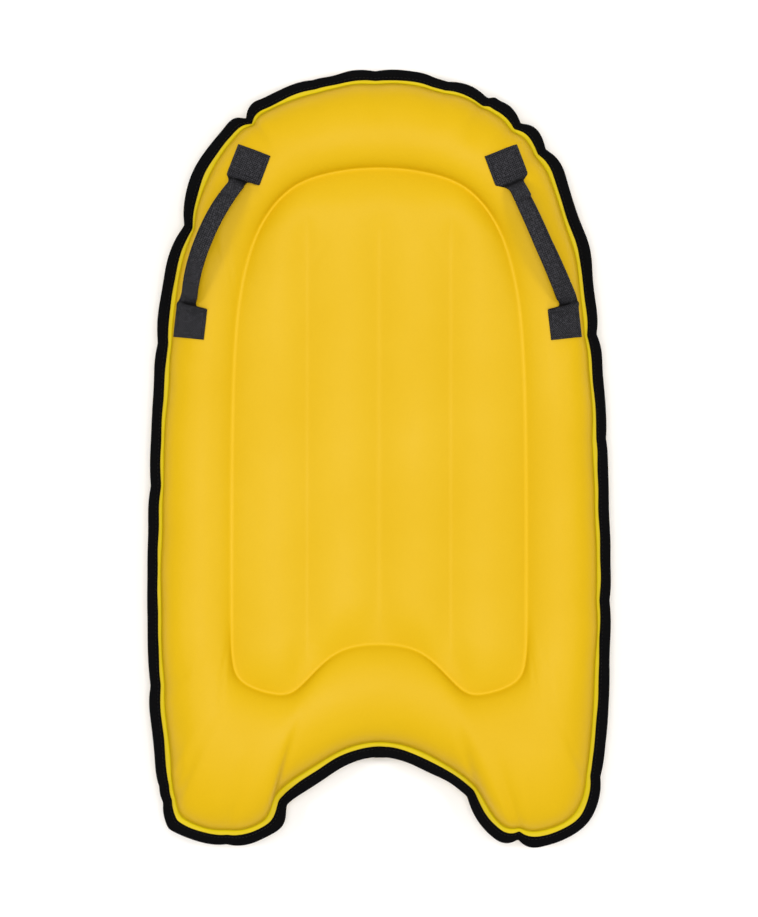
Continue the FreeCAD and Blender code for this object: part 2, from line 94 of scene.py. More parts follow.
FABRIC = 0.8
FLANGE = 14.0                    # from the board's edge to the root of the tube
FLANGE_ROWS = (4.4, 6.4, 8.4, 10.2, 12.0, FLANGE)
WELD = 1.1                       # half width of the weld line
TAPE_COVER = 11.0                # how far the binding tape reaches in
WELD_HEIGHT = 22.0               # of the weld line above the middle plane, on the inner wall
WELD_TOP = FABRIC + WELD_HEIGHT
INNER_SHOULDER = 0.35            # how far the tube's inner shoulder leans outward
END_SHOULDER = 0.08              # the same at the nose and the tail
BOARD_MIDDLE = 25.0              # the sides' middle, from which the ends are counted
ENDS = (175.0, 250.0)            # between these distances from it the shoulder changes
GATHER_LOSS = 0.45               # share of a gather's depth lost by the tube's root
MATTRESS_CREST = 31.6
MATTRESS_RIM = 42.0              # rounded border inside the weld loop
TAIL_SPAN = 430.0                # lengths over which the border at the tail and at the nose
NOSE_SPAN = 520.0                # is laid out
VALLEY_DEPTH = 0.73              # of a channel's rise over the weld line
VALLEY_WIDTH = 17.0              # how far from a baffle the valley fades
CREASE_WIDTH = 4.0
CREASE_SHARE = 0.16              # of a channel's depth that is its crease
CHANNEL_END = (215.0, 275.0)     # where the channels fade out towards the nose
BAFFLE_X = 75.0                  # side baffles, either side of the centre one
CENTRE_BAFFLE_Y = (-165.0, 235.0)
SIDE_BAFFLE_Y = (-185.0, 215.0)

binding_low, binding_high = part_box("edge_binding")
ORIGIN = np.array([0.0, binding_high.y - NOSE_Y * MM, (binding_low.z + binding_high.z) / 2])


def place(points):
    """Millimetres about the middle plane -> metres in the row frame."""
    return np.asarray(points, float) * MM + ORIGIN


# ---------------------------------------------------------------- curves

class ClosedSpline:
    """A periodic cubic spline through points, at the given parameters (one more than points)."""

    def __init__(self, points, knots):
        self.p, self.t = np.array(points, float), np.array(knots, float)
        count, h = len(self.p), np.diff(self.t)
        left, right = np.zeros((count, count)), np.zeros_like(self.p)
        for i in range(count):
            j = (i + 1) % count
            left[i, i - 1] += h[i - 1]
            left[i, i] += 2 * (h[i - 1] + h[i])
            left[i, j] += h[i]
            right[i] = 6 * ((self.p[j] - self.p[i]) / h[i]
                            - (self.p[i] - self.p[i - 1]) / h[i - 1])
        self.m = np.linalg.solve(left, right)

    def _span(self, u):
        u = np.asarray(u, float) % self.t[-1]
        i = np.clip(np.searchsorted(self.t, u, side="right") - 1, 0, len(self.p) - 1)
        h = (self.t[i + 1] - self.t[i])[:, None]
        return i, (i + 1) % len(self.p), h, (u - self.t[i])[:, None] / h

    def at(self, u):
        i, j, h, s = self._span(u)
        r = 1 - s
        return (r * self.p[i] + s * self.p[j]
                + h * h / 6 * ((r ** 3 - r) * self.m[i] + (s ** 3 - s) * self.m[j]))

    def slope(self, u):
        i, j, h, s = self._span(u)
        r = 1 - s
        return ((self.p[j] - self.p[i]) / h
                + h / 6 * ((1 - 3 * r * r) * self.m[i] + (3 * s * s - 1) * self.m[j]))

    def inward(self, u):
        """Unit normals in plan, towards the inside of a clockwise curve."""
        d = self.slope(u)
        n = np.stack([d[:, 1], -d[:, 0]], 1)
        return n / np.linalg.norm(n, axis=1, keepdims=True)


def mirrored(half):
    return half + [(-p[0],) + tuple(p[1:]) for p in reversed(half[1:-1])]


EDGE_POINTS = mirrored([edge for edge, _, _ in STATIONS])
KNOTS = [0.0]
for here, after in zip(EDGE_POINTS, EDGE_POINTS[1:] + EDGE_POINTS[:1]):
    KNOTS.append(KNOTS[-1] + math.dist(here, after))
EDGE = ClosedSpline(EDGE_POINTS, KNOTS)
LOOP = ClosedSpline(mirrored([loop + (h,) for _, loop, h in STATIONS]), KNOTS)
EDGE_TABLE = np.linspace(0, KNOTS[-1], 12000)
EDGE_TABLE_POINTS = EDGE.at(EDGE_TABLE)
EDGE_TABLE_LENGTHS = np.concatenate(
    [[0], np.cumsum(np.linalg.norm(np.diff(EDGE_TABLE_POINTS, axis=0), axis=1))])
EDGE_LENGTH = EDGE_TABLE_LENGTHS[-1]


def travel_at(u):
    """Distance along the edge from the nose to a parameter, which may go round again."""
    turns, rest = np.divmod(np.asarray(u, float), KNOTS[-1])
    return turns * EDGE_LENGTH + np.interp(rest, EDGE_TABLE, EDGE_TABLE_LENGTHS)


def edge_at(travel):
    """The inverse of travel_at."""
    turns, rest = np.divmod(np.asarray(travel, float), EDGE_LENGTH)
    return turns * KNOTS[-1] + np.interp(rest, EDGE_TABLE_LENGTHS, EDGE_TABLE)


def even_steps(low, high, count):
    """Parameters that divide the edge between two knots into equal lengths, without the last."""
    first, last = travel_at(low), travel_at(high)
    return edge_at(first + np.arange(count) / count * (last - first))


def loop_samples(nose, side, tail):
    """Edge parameters once round, with a sample on each of the mattress's corners."""
    middle = len(STATIONS) - 1
    stops = [(0, FRONT_CORNER, nose), (FRONT_CORNER, TAIL_CORNER, side), (TAIL_CORNER, middle, tail)]
    half = np.concatenate([even_steps(KNOTS[a], KNOTS[b], n) for a, b, n in stops])
    return np.concatenate([half, [KNOTS[middle]], KNOTS[-1] - half[:0:-1]])


# ---------------------------------------------------------------- the puckered edge

# Where the edge is gathered: place, depth, reach before and after it (clockwise), the flange's
# lift there, and the pull along the edge.
PUCKERS = [
    ((-135, 356.5), 8, 7, 5, 5, -4),
    ((-203, 243), 6.5, 15, 13, 3, 0),
    ((112.4, 375.4), 4.6, 9, 9, -3, 1.5),
    ((143.9, 349.1), 6, 8, 8, 4, 2.5),
    ((169, 319.7), 4.4, 9, 9, -2.5, 0),
    ((221.6, 128.6), 3, 9, 9, 2, 0),
    ((72.5, 394), 2.2, 9, 9, 1.5, 0),
    ((-4, 406), 2, 10, 10, -1.5, 0),
    ((-70, 396), 1.6, 10, 10, 1.5, 0),
    ((147, -394.3), 6.5, 7, 7, 2.5, 0),
    ((-217, -386), -5, 16, 13, 1, 0),
    ((-222, -361), 2.5, 8, 8, -1, 0),
    ((-160, -405), 2, 9, 9, -1.5, 0),
    ((93.5, -354.4), 3, 9, 9, 2, 0),
    ((-93.5, -367), 3, 9, 9, -2, 0),
    ((-229, -345), 2, 9, 9, 1.5, 0),
    ((-233.5, 120), 1.5, 9, 9, -1.5, 0),
    ((239, 20), 1.2, 9, 9, 1.2, 0),
    ((-240, -30), 1.2, 9, 9, 1.2, 0),
    ((243, -150), 1.2, 9, 9, -1.2, 0),
    ((-241, -240), 1.4, 9, 9, -1.2, 0),
    ((232, -335), 2, 9, 9, 1.6, 0),
]

# Where the pressure pushes the edge out of its pattern, or lets it in: place, outward, reach.
SWELLS = [
    ((-195, 302), 4.6, 34),
    ((190, 300), 4, 32),
    ((218, 220), 4.2, 30),
    ((-226, 160), 2.8, 60),
    ((-241, -265), 2.6, 38),
    ((240, -270), 3.2, 42),
    ((-99, -386), 5, 15),
    ((-62, -343), 3.6, 24),
    ((72, -347), -2.8, 20),
    ((-48, 399), -2.6, 16),
    ((60, 395), -2.4, 12),
    ((116, 372), 3, 6),
]


def distance_from(spot, travel):
    """Signed distances along the edge from the point nearest to a spot, the shorter way round."""
    nearest = np.argmin(np.linalg.norm(EDGE_TABLE_POINTS - np.array(spot), axis=1))
    d = travel - EDGE_TABLE_LENGTHS[nearest]
    return (d + EDGE_LENGTH / 2) % EDGE_LENGTH - EDGE_LENGTH / 2


class Puckers:
    """The gathers along the edge, sampled at edge parameters."""

    def __init__(self, u):
        travel = travel_at(u)
        self.inward, self.along, self.lift = np.zeros(len(u)), np.zeros(len(u)), np.zeros(len(u))
        self.creases = []
        for spot, depth, before, after, lift, pull in PUCKERS:
            d = distance_from(spot, travel)
            width = np.where(d < 0, before, after)
            notch = np.exp(-(np.abs(d) / width) ** 1.35)
            shoulders = np.exp(-((np.abs(d) - 2.6 * width) / (1.5 * width)) ** 2)
            self.inward += depth * (notch - 0.18 * shoulders)
            self.along += pull * np.exp(-(d / (1.6 * width)) ** 2)
            self.lift += lift * np.exp(-((d - 0.8 * after) / (1.7 * width)) ** 2)
            self.creases.append((d, depth, width))
        for spot, outward, reach in SWELLS:
            self.inward -= outward * np.exp(-(distance_from(spot, travel) / reach) ** 2)
        turn = 2 * math.pi * travel / EDGE_LENGTH
        ripple = sum(np.sin(k * turn + 1.7 * k * k) for k in (11, 17, 26, 37)) / 4
        self.lift += 0.9 * ripple
        shifted = sum(np.sin(k * turn + 0.9 * k * k) for k in (13, 21, 33, 47)) / 4
        self.inward += 0.5 * shifted

    def crease(self, v):
        """How much of its height the tube loses at each sample, v of the way in from its root."""
        loss = 0
        for d, depth, width in self.creases:
            spread = 0.55 * width + 26 * v
            loss = loss + 0.034 * depth * np.exp(-(d / spread) ** 2) * (1 - v) ** 2.2
        return np.clip(loss, 0, 0.5)


def edge_offset(u, distance, puckers, share=1.0):
    """Points in plan this far inside the edge, with a share of the gathers, which die away."""
    n = EDGE.inward(u)
    t = np.stack([-n[:, 1], n[:, 0]], 1)
    share = share * (1 - GATHER_LOSS * np.clip(distance / FLANGE, 0, 1))
    return (EDGE.at(u) + n * (distance + share * puckers.inward)[:, None]
            + t * (share * puckers.along)[:, None])


# ---------------------------------------------------------------- panels

def rim(distance):
    """Rises from 0 at the weld to 1 at the mattress's full height."""
    q = np.clip(distance / MATTRESS_RIM, 0, 1)
    return q * (2 - q)


def channel(distance):
    """The shape across a channel: a soft valley with a crease where the baffle pulls."""
    return ((1 - CREASE_SHARE) * math.exp(-(distance / VALLEY_WIDTH) ** 2)
            + CREASE_SHARE * math.exp(-abs(distance) / CREASE_WIDTH))


def ease(value, low, high):
    q = np.clip((value - low) / (high - low), 0, 1)
    return q * q * (3 - 2 * q)


def flange_slack(u):
    """How much wider than its pattern the flange shows at each sample, most round the tail."""
    turn = 2 * math.pi * travel_at(u) / EDGE_LENGTH
    waves = sum(np.sin(k * turn + 2.3 * k) for k in (7, 12, 19, 31)) / 4
    return 0.9 + 1.3 * waves + 1.5 * ease(-EDGE.at(u)[:, 1], 290, 330)


def arch_rows(count):
    """Bezier parameters that space rows evenly over the tube's arch, without its ends."""
    v = np.linspace(0, 1, 400)
    across = v ** 3 + 3 * v * v * (1 - v) * (1 - INNER_SHOULDER)
    up = 1.25 * v * (1 - v) + 0.3 * v ** 3
    along = np.concatenate([[0], np.cumsum(np.hypot(np.diff(across), np.diff(up)))])
    return np.interp(np.linspace(0, 1, count + 2)[1:-1], along / along[-1], v)


def tube_rows(u, puckers):
    """Rows of points round the board, from its edge over the tube to the weld line.

    Gives the rows, the share of the gathers' lift that each one takes, and their kinds.
    """
    rows, lift_shares, kinds = [], [], []

    def add(plan, height, lift_share, kind):
        rows.append(np.column_stack([plan, np.broadcast_to(height, len(u))]))
        lift_shares.append(np.broadcast_to(lift_share, len(u)))
        kinds.append(kind)

    slack = flange_slack(u)
    for inset in FLANGE_ROWS:
        add(edge_offset(u, inset + slack * (inset / FLANGE) ** 2, puckers), FABRIC, 1.0, "flange")
    root = rows[-1][:, :2]
    root_plain = edge_offset(u, FLANGE + slack, puckers, 0.0)
    loop, loop_in = LOOP.at(u), LOOP.inward(u)
    weld_plan = loop[:, :2] - loop_in * WELD
    shoulder = (loop[:, 2] - (FABRIC + WELD_TOP) / 8) * 4 / 3
    at_end = ease(np.abs(loop[:, 1] - BOARD_MIDDLE), *ENDS)
    leaning = INNER_SHOULDER + (END_SHOULDER - INNER_SHOULDER) * at_end
    for v in arch_rows(ARCH_ROWS):
        share = v ** 3 + 3 * v * v * (1 - v) * (1 - leaning)
        across = share[:, None]
        outer = root_plain + (root - root_plain) * (1 - across) ** 3
        z = FABRIC * (1 - v) ** 3 + shoulder * (3 * v * (1 - v)) + WELD_TOP * v ** 3
        fall = puckers.crease(share) * (z - FABRIC)
        add(outer * (1 - across) + weld_plan * across, z - fall, (1 - share) ** 2, "tube")
    for offset in (-WELD, 0, WELD):
        add(loop[:, :2] + loop_in * offset, WELD_TOP, 0.0, "weld")
    return rows, lift_shares, kinds


def mattress_height(x, y, f, g, half_width):
    """How high the mattress stands, from 0 at the weld line to 1 on a crest."""
    height = rim((1 - abs(f)) * half_width)
    height *= rim(g * TAIL_SPAN) * rim((1 - g) * NOSE_SPAN)
    valley = sum(channel(x - b) for b in (-BAFFLE_X, 0, BAFFLE_X))
    return height * (1 - VALLEY_DEPTH * valley * (1 - ease(y, *CHANNEL_END)))


def mattress_grid(border, first):
    """The grid inside the innermost row: its new points, and the number of each grid point.

    Grid rows g go from the tail to the nose, and columns f from the left to the right.  The border
    is that row, once round from the nose, and its points are numbered from first.
    """
    count = len(border)
    tail, notch = HALF_NOSE + SIDE, HALF_NOSE + SIDE + HALF_TAIL
    side = border[HALF_NOSE:tail + 1][::-1]
    g = (side[:, 1] - side[0, 1]) / (side[-1, 1] - side[0, 1])
    nose_half = border[:HALF_NOSE + 1]
    tail_half = border[tail:notch + 1][::-1]
    half_f = nose_half[:, 0] / nose_half[-1, 0]
    half_t = tail_half[:, 0] / tail_half[-1, 0]
    nose_f = np.concatenate([-half_f[:0:-1], half_f])
    tail_f = np.concatenate([-half_t[:0:-1], half_t])

    across, along = np.arange(2 * HALF_NOSE + 1), np.arange(len(g))
    index = np.zeros((len(along), len(across)), int)
    index[-1] = first + (across - HALF_NOSE) % count
    index[0] = first + notch + HALF_TAIL - across
    index[:, -1] = first + tail - along
    index[:, 0] = first + (notch + HALF_TAIL + along) % count
    inside = []
    # One column each side is bent to run along the side baffle.
    bent = HALF_NOSE + int(np.argmin(np.abs((tail_f + nose_f)[HALF_NOSE:] / 2 - 0.5)))
    for i in along[1:-1]:
        half_width = side[i, 0]
        row_f = tail_f * (1 - g[i]) + nose_f * g[i]
        pivot = row_f[bent]
        share = ease(g[i], 0.02, 0.1) * ease(1 - g[i], 0.1, 0.2)
        goal = pivot + (BAFFLE_X / half_width - pivot) * share
        size = np.abs(row_f)
        row_f = np.sign(row_f) * np.where(size < pivot, size * goal / pivot,
                                          1 - (1 - size) * (1 - goal) / (1 - pivot))
        for j in across[1:-1]:
            f = row_f[j]
            x = f * half_width
            y = (np.interp(abs(f), half_t, tail_half[:, 1]) * (1 - g[i])
                 + np.interp(abs(f), half_f, nose_half[:, 1]) * g[i])
            height = mattress_height(x, y, f, g[i], half_width)
            index[i, j] = first + count + len(inside)
            inside.append((x, y, WELD_TOP + (MATTRESS_CREST - WELD_TOP) * height))
    return np.array(inside), index


def laid_flat(rows, first_weld):
    """The rows on a plane, each as far from the weld as it is over the tube's arch."""
    ring = np.array(rows)
    flat = ring.copy()
    weld_row = ring[first_weld, :, :2]
    away = ring[0, :, :2] - weld_row
    away /= np.linalg.norm(away, axis=1, keepdims=True)
    distance = 0
    for r in range(first_weld - 1, -1, -1):
        distance = distance + np.linalg.norm(ring[r] - ring[r + 1], axis=1)
        flat[r, :, :2] = weld_row + away * distance[:, None]
    return flat


def panel_grid():
    """The deck panel's outer face: points, faces, flat cutting pattern, lift and kind of point."""
    u = loop_samples(HALF_NOSE, SIDE, HALF_TAIL)
    count = len(u)
    puckers = Puckers(u)
    rows, lift_shares, kinds = tube_rows(u, puckers)
    inside, index = mattress_grid(rows[-1], (len(rows) - 1) * count)
    points = np.concatenate(rows + [inside])
    faces = [(b, a, d, c) for a, b, c, d in ring_faces(len(rows), count)]
    corners = np.stack([index[:-1, :-1], index[:-1, 1:], index[1:, 1:], index[1:, :-1]], axis=2)
    faces += corners.reshape(-1, 4).tolist()
    pattern = np.concatenate([laid_flat(rows, kinds.index("weld")).reshape(-1, 3), inside])
    pattern[:, 2] = WELD_TOP
    lift = np.concatenate([(np.array(lift_shares) * puckers.lift).ravel(), np.zeros(len(inside))])
    kind = np.array([k for k in kinds for _ in range(count)] + ["mattress"] * len(inside))
    return points, faces, pattern, lift, kind


def new_mesh(name, points, faces):
    mesh = bpy.data.meshes.new(name)
    mesh.from_pydata([tuple(p) for p in points], [], [tuple(int(i) for i in f) for f in faces])
    mesh.validate()
    mesh.shade_smooth()
    obj = bpy.data.objects.new(name, mesh)
    bpy.context.scene.collection.objects.link(obj)
    return obj


def ring_faces(rings, n, closed=False):
    """Quads between each ring of n points and the next, and from the last to the first if closed."""
    total = rings * n
    return [(k * n + i, k * n + (i + 1) % n, ((k + 1) * n + (i + 1) % n) % total,
             ((k + 1) * n + i) % total)
            for k in range(rings if closed else rings - 1) for i in range(n)]


def outward_normals(obj, join_closer=0.0):
    """Turns every face outward, once points that are closer than a distance are joined."""
    work = bmesh.new()
    work.from_mesh(obj.data)
    if join_closer:
        bmesh.ops.remove_doubles(work, verts=work.verts, dist=join_closer)
    bmesh.ops.recalc_face_normals(work, faces=work.faces)
    work.to_mesh(obj.data)
    work.free()


def coordinates(obj):
    co = np.empty(len(obj.data.vertices) * 3)
    obj.data.vertices.foreach_get("co", co)
    return co.reshape(-1, 3)


def set_coordinates(obj, co):
    obj.data.vertices.foreach_set("co", np.asarray(co, float).ravel())
    obj.data.update()


def set_attribute(obj, name, vectors):
    """Coordinates for the material's patterns, kept on the points, in metres of cloth."""
    data = obj.data.attributes.new(name, "FLOAT_VECTOR", "POINT").data
    data.foreach_set("vector", np.asarray(vectors, np.float32).ravel())


def apply_modifiers(obj):
    """Makes the mesh that the modifiers give the object's own mesh."""
    evaluated = obj.evaluated_get(bpy.context.evaluated_depsgraph_get())
    mesh = bpy.data.meshes.new_from_object(evaluated, preserve_all_data_layers=True,
                                           depsgraph=bpy.context.evaluated_depsgraph_get())
    obj.modifiers.clear()
    obj.data = mesh


def subdivided(obj):
    modifier = obj.modifiers.new("smooth", "SUBSURF")
    modifier.levels = modifier.render_levels = 1
    modifier.boundary_smooth = "PRESERVE_CORNERS"
    apply_modifiers(obj)


def thickened(obj, thickness):
    """Gives a sheet its thickness, on the side away from its normals."""
    modifier = obj.modifiers.new("thickness", "SOLIDIFY")
    modifier.thickness = thickness
    modifier.offset = -1.0
    apply_modifiers(obj)


def inflate(obj, pinned, cut, pressure, frames, reach):
    """Blows the panel up: pinned points hold, cut is the flat shape it is made of.

    No point ends further than its own reach from where it started.
    """
    start = coordinates(obj)
    group = obj.vertex_groups.new(name="held")
    group.add([int(i) for i in np.nonzero(pinned)[0]], 1.0, "REPLACE")
    obj.shape_key_add(name="rest")
    key = obj.shape_key_add(name="cut")
    key.data.foreach_set("co", np.asarray(cut, float).ravel())
    key.value = 0.0
    modifier = obj.modifiers.new("air", "CLOTH")
    cloth = modifier.settings
    cloth.quality = 5
    cloth.mass = 0.2
    cloth.tension_stiffness = cloth.compression_stiffness = 40
    cloth.shear_stiffness = 20
    cloth.bending_stiffness = 0.6
    cloth.air_damping = 2.0
    cloth.tension_damping = cloth.compression_damping = 12
    cloth.use_pressure = True
    cloth.uniform_pressure_force = pressure
    cloth.vertex_group_mass = group.name
    cloth.rest_shape_key = obj.data.shape_keys.key_blocks["cut"]
    cloth.effector_weights.gravity = 0
    modifier.point_cache.frame_start, modifier.point_cache.frame_end = 1, frames
    for number in range(1, frames + 1):
        bpy.context.scene.frame_set(number)
    evaluated = obj.evaluated_get(bpy.context.evaluated_depsgraph_get())
    blown = np.array([v.co for v in evaluated.data.vertices], float)
    obj.modifiers.clear()
    obj.shape_key_clear()
    obj.vertex_groups.clear()
    bpy.context.scene.frame_set(1)
    moved = blown - start
    length = np.linalg.norm(moved, axis=1)
    share = 1 / np.sqrt(1 + (length / reach) ** 2)
    set_coordinates(obj, start + moved * share[:, None])


def baffle_line(points):
    """The points of the mattress where a baffle holds it down."""
    x, y = points[:, 0], points[:, 1]
    held = np.zeros(len(points), bool)
    for middle, (low, high) in ((0, CENTRE_BAFFLE_Y), (BAFFLE_X, SIDE_BAFFLE_Y),
                                (-BAFFLE_X, SIDE_BAFFLE_Y)):
        held |= (np.abs(x - middle) < 0.5) & (y > low) & (y < high)
    return held


# ---------------------------------------------------------------- materials

class Finish:
    """A node material, with short ways to add and join nodes."""

    def __init__(self, name, roughness, specular=0.5):
        self.material = bpy.data.materials.new(name)
        self.material.use_nodes = True
        self.tree = self.material.node_tree
        self.shader = self.tree.nodes["Principled BSDF"]
        self.shader.inputs["Roughness"].default_value = roughness
        self.shader.inputs["Specular IOR Level"].default_value = specular

    def node(self, kind, **settings):
        node = self.tree.nodes.new(kind)
        for key, value in settings.items():
            setattr(node, key, value)
        return node

    def feed(self, socket, value):
        if isinstance(value, bpy.types.NodeSocket):
            self.tree.links.new(value, socket)
        else:
            socket.default_value = value

    def math(self, operation, a, b=0.0):
        node = self.node("ShaderNodeMath", operation=operation)
        self.feed(node.inputs[0], a)
        self.feed(node.inputs[1], b)
        return node.outputs[0]

    def cloth(self, name="cloth"):
        """The pattern coordinates kept on the mesh, whole and as x, y and z."""
        vector = self.node("ShaderNodeAttribute", attribute_name=name).outputs["Vector"]
        split = self.node("ShaderNodeSeparateXYZ")
        self.feed(split.inputs[0], vector)
        return vector, split.outputs[0], split.outputs[1], split.outputs[2]

    def wave(self, value, pitch):
        """A sine of a length in metres."""
        return self.math("SINE", self.math("MULTIPLY", value, 2 * math.pi / pitch))

    def noise(self, vector, scale, detail=2.0):
        node = self.node("ShaderNodeTexNoise")
        self.feed(node.inputs["Vector"], vector)
        node.inputs["Scale"].default_value = scale
        node.inputs["Detail"].default_value = detail
        return node.outputs["Fac"]

    def between(self, value, low, high, to_low=0.0, to_high=1.0):
        """Maps a value from one range to another, held at its ends."""
        node = self.node("ShaderNodeMapRange")
        for key, number in (("From Min", low), ("From Max", high), ("To Min", to_low),
                            ("To Max", to_high)):
            node.inputs[key].default_value = number
        self.feed(node.inputs["Value"], value)
        return node.outputs[0]

    def mix(self, share, a, b):
        node = self.node("ShaderNodeMix", data_type="RGBA")
        self.feed(node.inputs[0], share)
        for socket, colour in ((node.inputs[6], a), (node.inputs[7], b)):
            self.feed(socket, colour if isinstance(colour, bpy.types.NodeSocket) else (*colour, 1))
        return node.outputs[2]

    def bump(self, height, distance, strength=1.0, below=None):
        node = self.node("ShaderNodeBump")
        node.inputs["Strength"].default_value = strength
        node.inputs["Distance"].default_value = distance
        self.feed(node.inputs["Height"], height)
        if below is not None:
            self.feed(node.inputs["Normal"], below)
        return node.outputs[0]

    def wear(self, colour, roughness, normal):
        for name, value in (("Base Color", colour), ("Roughness", roughness), ("Normal", normal)):
            self.feed(self.shader.inputs[name], value)
        return self.material


def shade(hue, amount):
    return tuple(c * amount for c in hue)


def plain_weave(finish, x, y, pitch):
    """Threads over and under: a height that alternates along and across."""
    over = finish.math("MULTIPLY", finish.wave(x, pitch), finish.wave(y, pitch))
    return finish.math("MULTIPLY", over, 0.5)


def coated_fabric(name, hue):
    """Woven fabric with a thin matte coating; welds are pressed smooth and a shade lighter."""
    f = Finish(name, 0.5, specular=0.12)
    vector, x, y, _ = f.cloth()
    _, weld, flange, _ = f.cloth("zones")
    cloud = f.noise(vector, 9.0, 3.0)
    fleck = f.noise(vector, 900.0, 1.0)
    red, green, blue = hue
    body = f.mix(f.between(cloud, 0.3, 0.7), hue, (red * 0.98, green * 0.965, blue * 0.92))
    body = f.mix(f.between(fleck, 0.35, 0.65, 0.0, 0.10), body, shade(hue, 0.8))
    body = f.mix(f.between(weld, 0.5, 1.0, 0.0, 0.35), body, shade(hue, 1.1))
    lime = (red * 0.98, min(1, green * 1.28), blue * 0.6)
    body = f.mix(f.between(flange, 0.2, 0.9, 0.0, 0.75), body, lime)
    weave = plain_weave(f, x, y, 0.9 * MM)
    weave = f.math("MULTIPLY", weave, f.between(weld, 0.3, 0.9, 1.0, 0.25))
    pillow = f.bump(f.noise(vector, 55.0, 2.0), 1.2 * MM, 0.25)
    normal = f.bump(weave, 0.06 * MM, 0.5, pillow)
    return f.wear(body, f.between(cloud, 0.3, 0.7, 0.4, 0.52), normal)


def ribbed_tape(name, hue, rib):
    """Grosgrain tape: fine ribs across its length, a thicker selvedge, painted shade in the grooves,
    painted highlights on the ribs, pale dust in random patches.
    """
    f = Finish(name, 0.8, specular=0.04)
    vector, along, across, _ = f.cloth()
    ribs = f.wave(along, rib)
    threads = f.math("MULTIPLY", f.wave(across, rib * 0.7), 0.35)
    worn = f.noise(vector, 240.0, 3.0)
    height = f.math("ADD", ribs, threads)
    # painted shade in the grooves and painted highlights on the rib crests, following the rib height
    colour = f.mix(f.between(height, -0.6, 1.3), shade(hue, 0.45), shade(hue, 1.5))
    colour = f.mix(f.between(worn, 0.55, 0.8, 0.0, 0.35), colour, shade(hue, 2.4))
    return f.wear(colour, f.between(worn, 0.3, 0.7, 0.62, 0.82), f.bump(height, 0.12 * MM, 0.8))


def webbing_cloth(name, hue, pitch):
    """Flat webbing: coarse threads over and under, in rows along its length; painted highlights on
    the threads and painted shade between them and in the folds.
    """
    f = Finish(name, 0.75, specular=0.1)
    vector, across, along, folded = f.cloth()
    weave = plain_weave(f, across, along, pitch)
    fibre = f.math("MULTIPLY", f.wave(along, pitch * 0.21), 0.12)
    height = f.math("ADD", weave, fibre)
    worn = f.noise(vector, 160.0, 3.0)
    # painted shade between the threads and painted highlights on their crests, following the weave's
    # height
    colour = f.mix(f.between(height, -0.3, 0.45), shade(hue, 0.1), shade(hue, 4.5))
    fuzz = f.noise(vector, 520.0, 1.0)
    colour = f.mix(f.between(fuzz, 0.52, 0.66, 0.0, 0.6), colour, shade(hue, 6.0))
    colour = f.mix(f.between(worn, 0.45, 0.8, 0.0, 0.4), colour, shade(hue, 0.4))
    # painted shade in the folds, darkest where the webbing is half folded
    colour = f.mix(f.between(folded, 0.0, 1.0 * MM, 0.0, 0.9), colour, shade(hue, 0.1))
    return f.wear(colour, f.between(worn, 0.3, 0.7, 0.6, 0.8), f.bump(height, 0.35 * MM, 1.0))


def twisted_thread(name, hue):
    """Thread with a twist that runs round it, with painted highlights on its crests and painted shade
    between them.
    """
    f = Finish(name, 0.55, specular=0.15)
    _, along, across, _ = f.cloth()
    twist = f.wave(f.math("ADD", along, across), 0.5 * MM)
    # painted highlights on the twist's crests and painted shade between them
    colour = f.mix(f.between(twist, -1, 1), shade(hue, 0.6), shade(hue, 1.6))
    return f.wear(colour, f.between(twist, -1, 1, 0.4, 0.6), f.bump(twist, 0.08 * MM, 0.8))


def moulded(name, hue, roughness):
    """Moulded plastic: a fine grain, faint flow marks and a little dirt."""
    f = Finish(name, roughness, specular=0.5)
    vector = f.node("ShaderNodeTexCoord").outputs["Object"]
    grain = f.noise(vector, 2600.0, 1.0)
    marks = f.noise(vector, 130.0, 3.0)
    colour = f.mix(f.between(marks, 0.35, 0.7), hue, shade(hue, 0.86))
    rough = f.between(marks, 0.3, 0.7, roughness - 0.06, roughness + 0.1)
    return f.wear(colour, rough, f.bump(grain, 0.03 * MM, 0.5))


YELLOW = (0.615, 0.38, 0.0025)
DECK_FABRIC = coated_fabric("deck_fabric", YELLOW)
SLICK_FABRIC = coated_fabric("slick_fabric", YELLOW)
BINDING_TAPE = ribbed_tape("binding_tape", (0.0022, 0.0022, 0.0026), 1.3 * MM)
WEBBING_CLOTH = webbing_cloth("webbing", (0.0095, 0.0093, 0.0105), 2.6 * MM)
THREAD = twisted_thread("binding_thread", (0.004, 0.004, 0.0045))
HANDLE_THREAD = twisted_thread("handle_thread", (0.005, 0.005, 0.0055))
FLANGE_PLASTIC = moulded("valve_flange", (0.55, 0.55, 0.5), 0.42)
STEM_PLASTIC = moulded("valve_stem", (0.6, 0.6, 0.55), 0.34)
CAP_PLASTIC = moulded("valve_cap", (0.018, 0.018, 0.02), 0.38)


def dress(obj, material):
    obj.data.materials.clear()
    obj.data.materials.append(material)


def stand_for(piece, material, slot, *nodes):
    """A finished piece that is shown in place of CAD nodes."""
    dress(piece, material)
    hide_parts(*nodes)


EXCESS = 0.4         # share of the flat pattern's extra length round the curves that gathers
TUBE_REACH = 3.0     # how far the air may move the cloth from its modelled shape
MATTRESS_REACH = 0.8


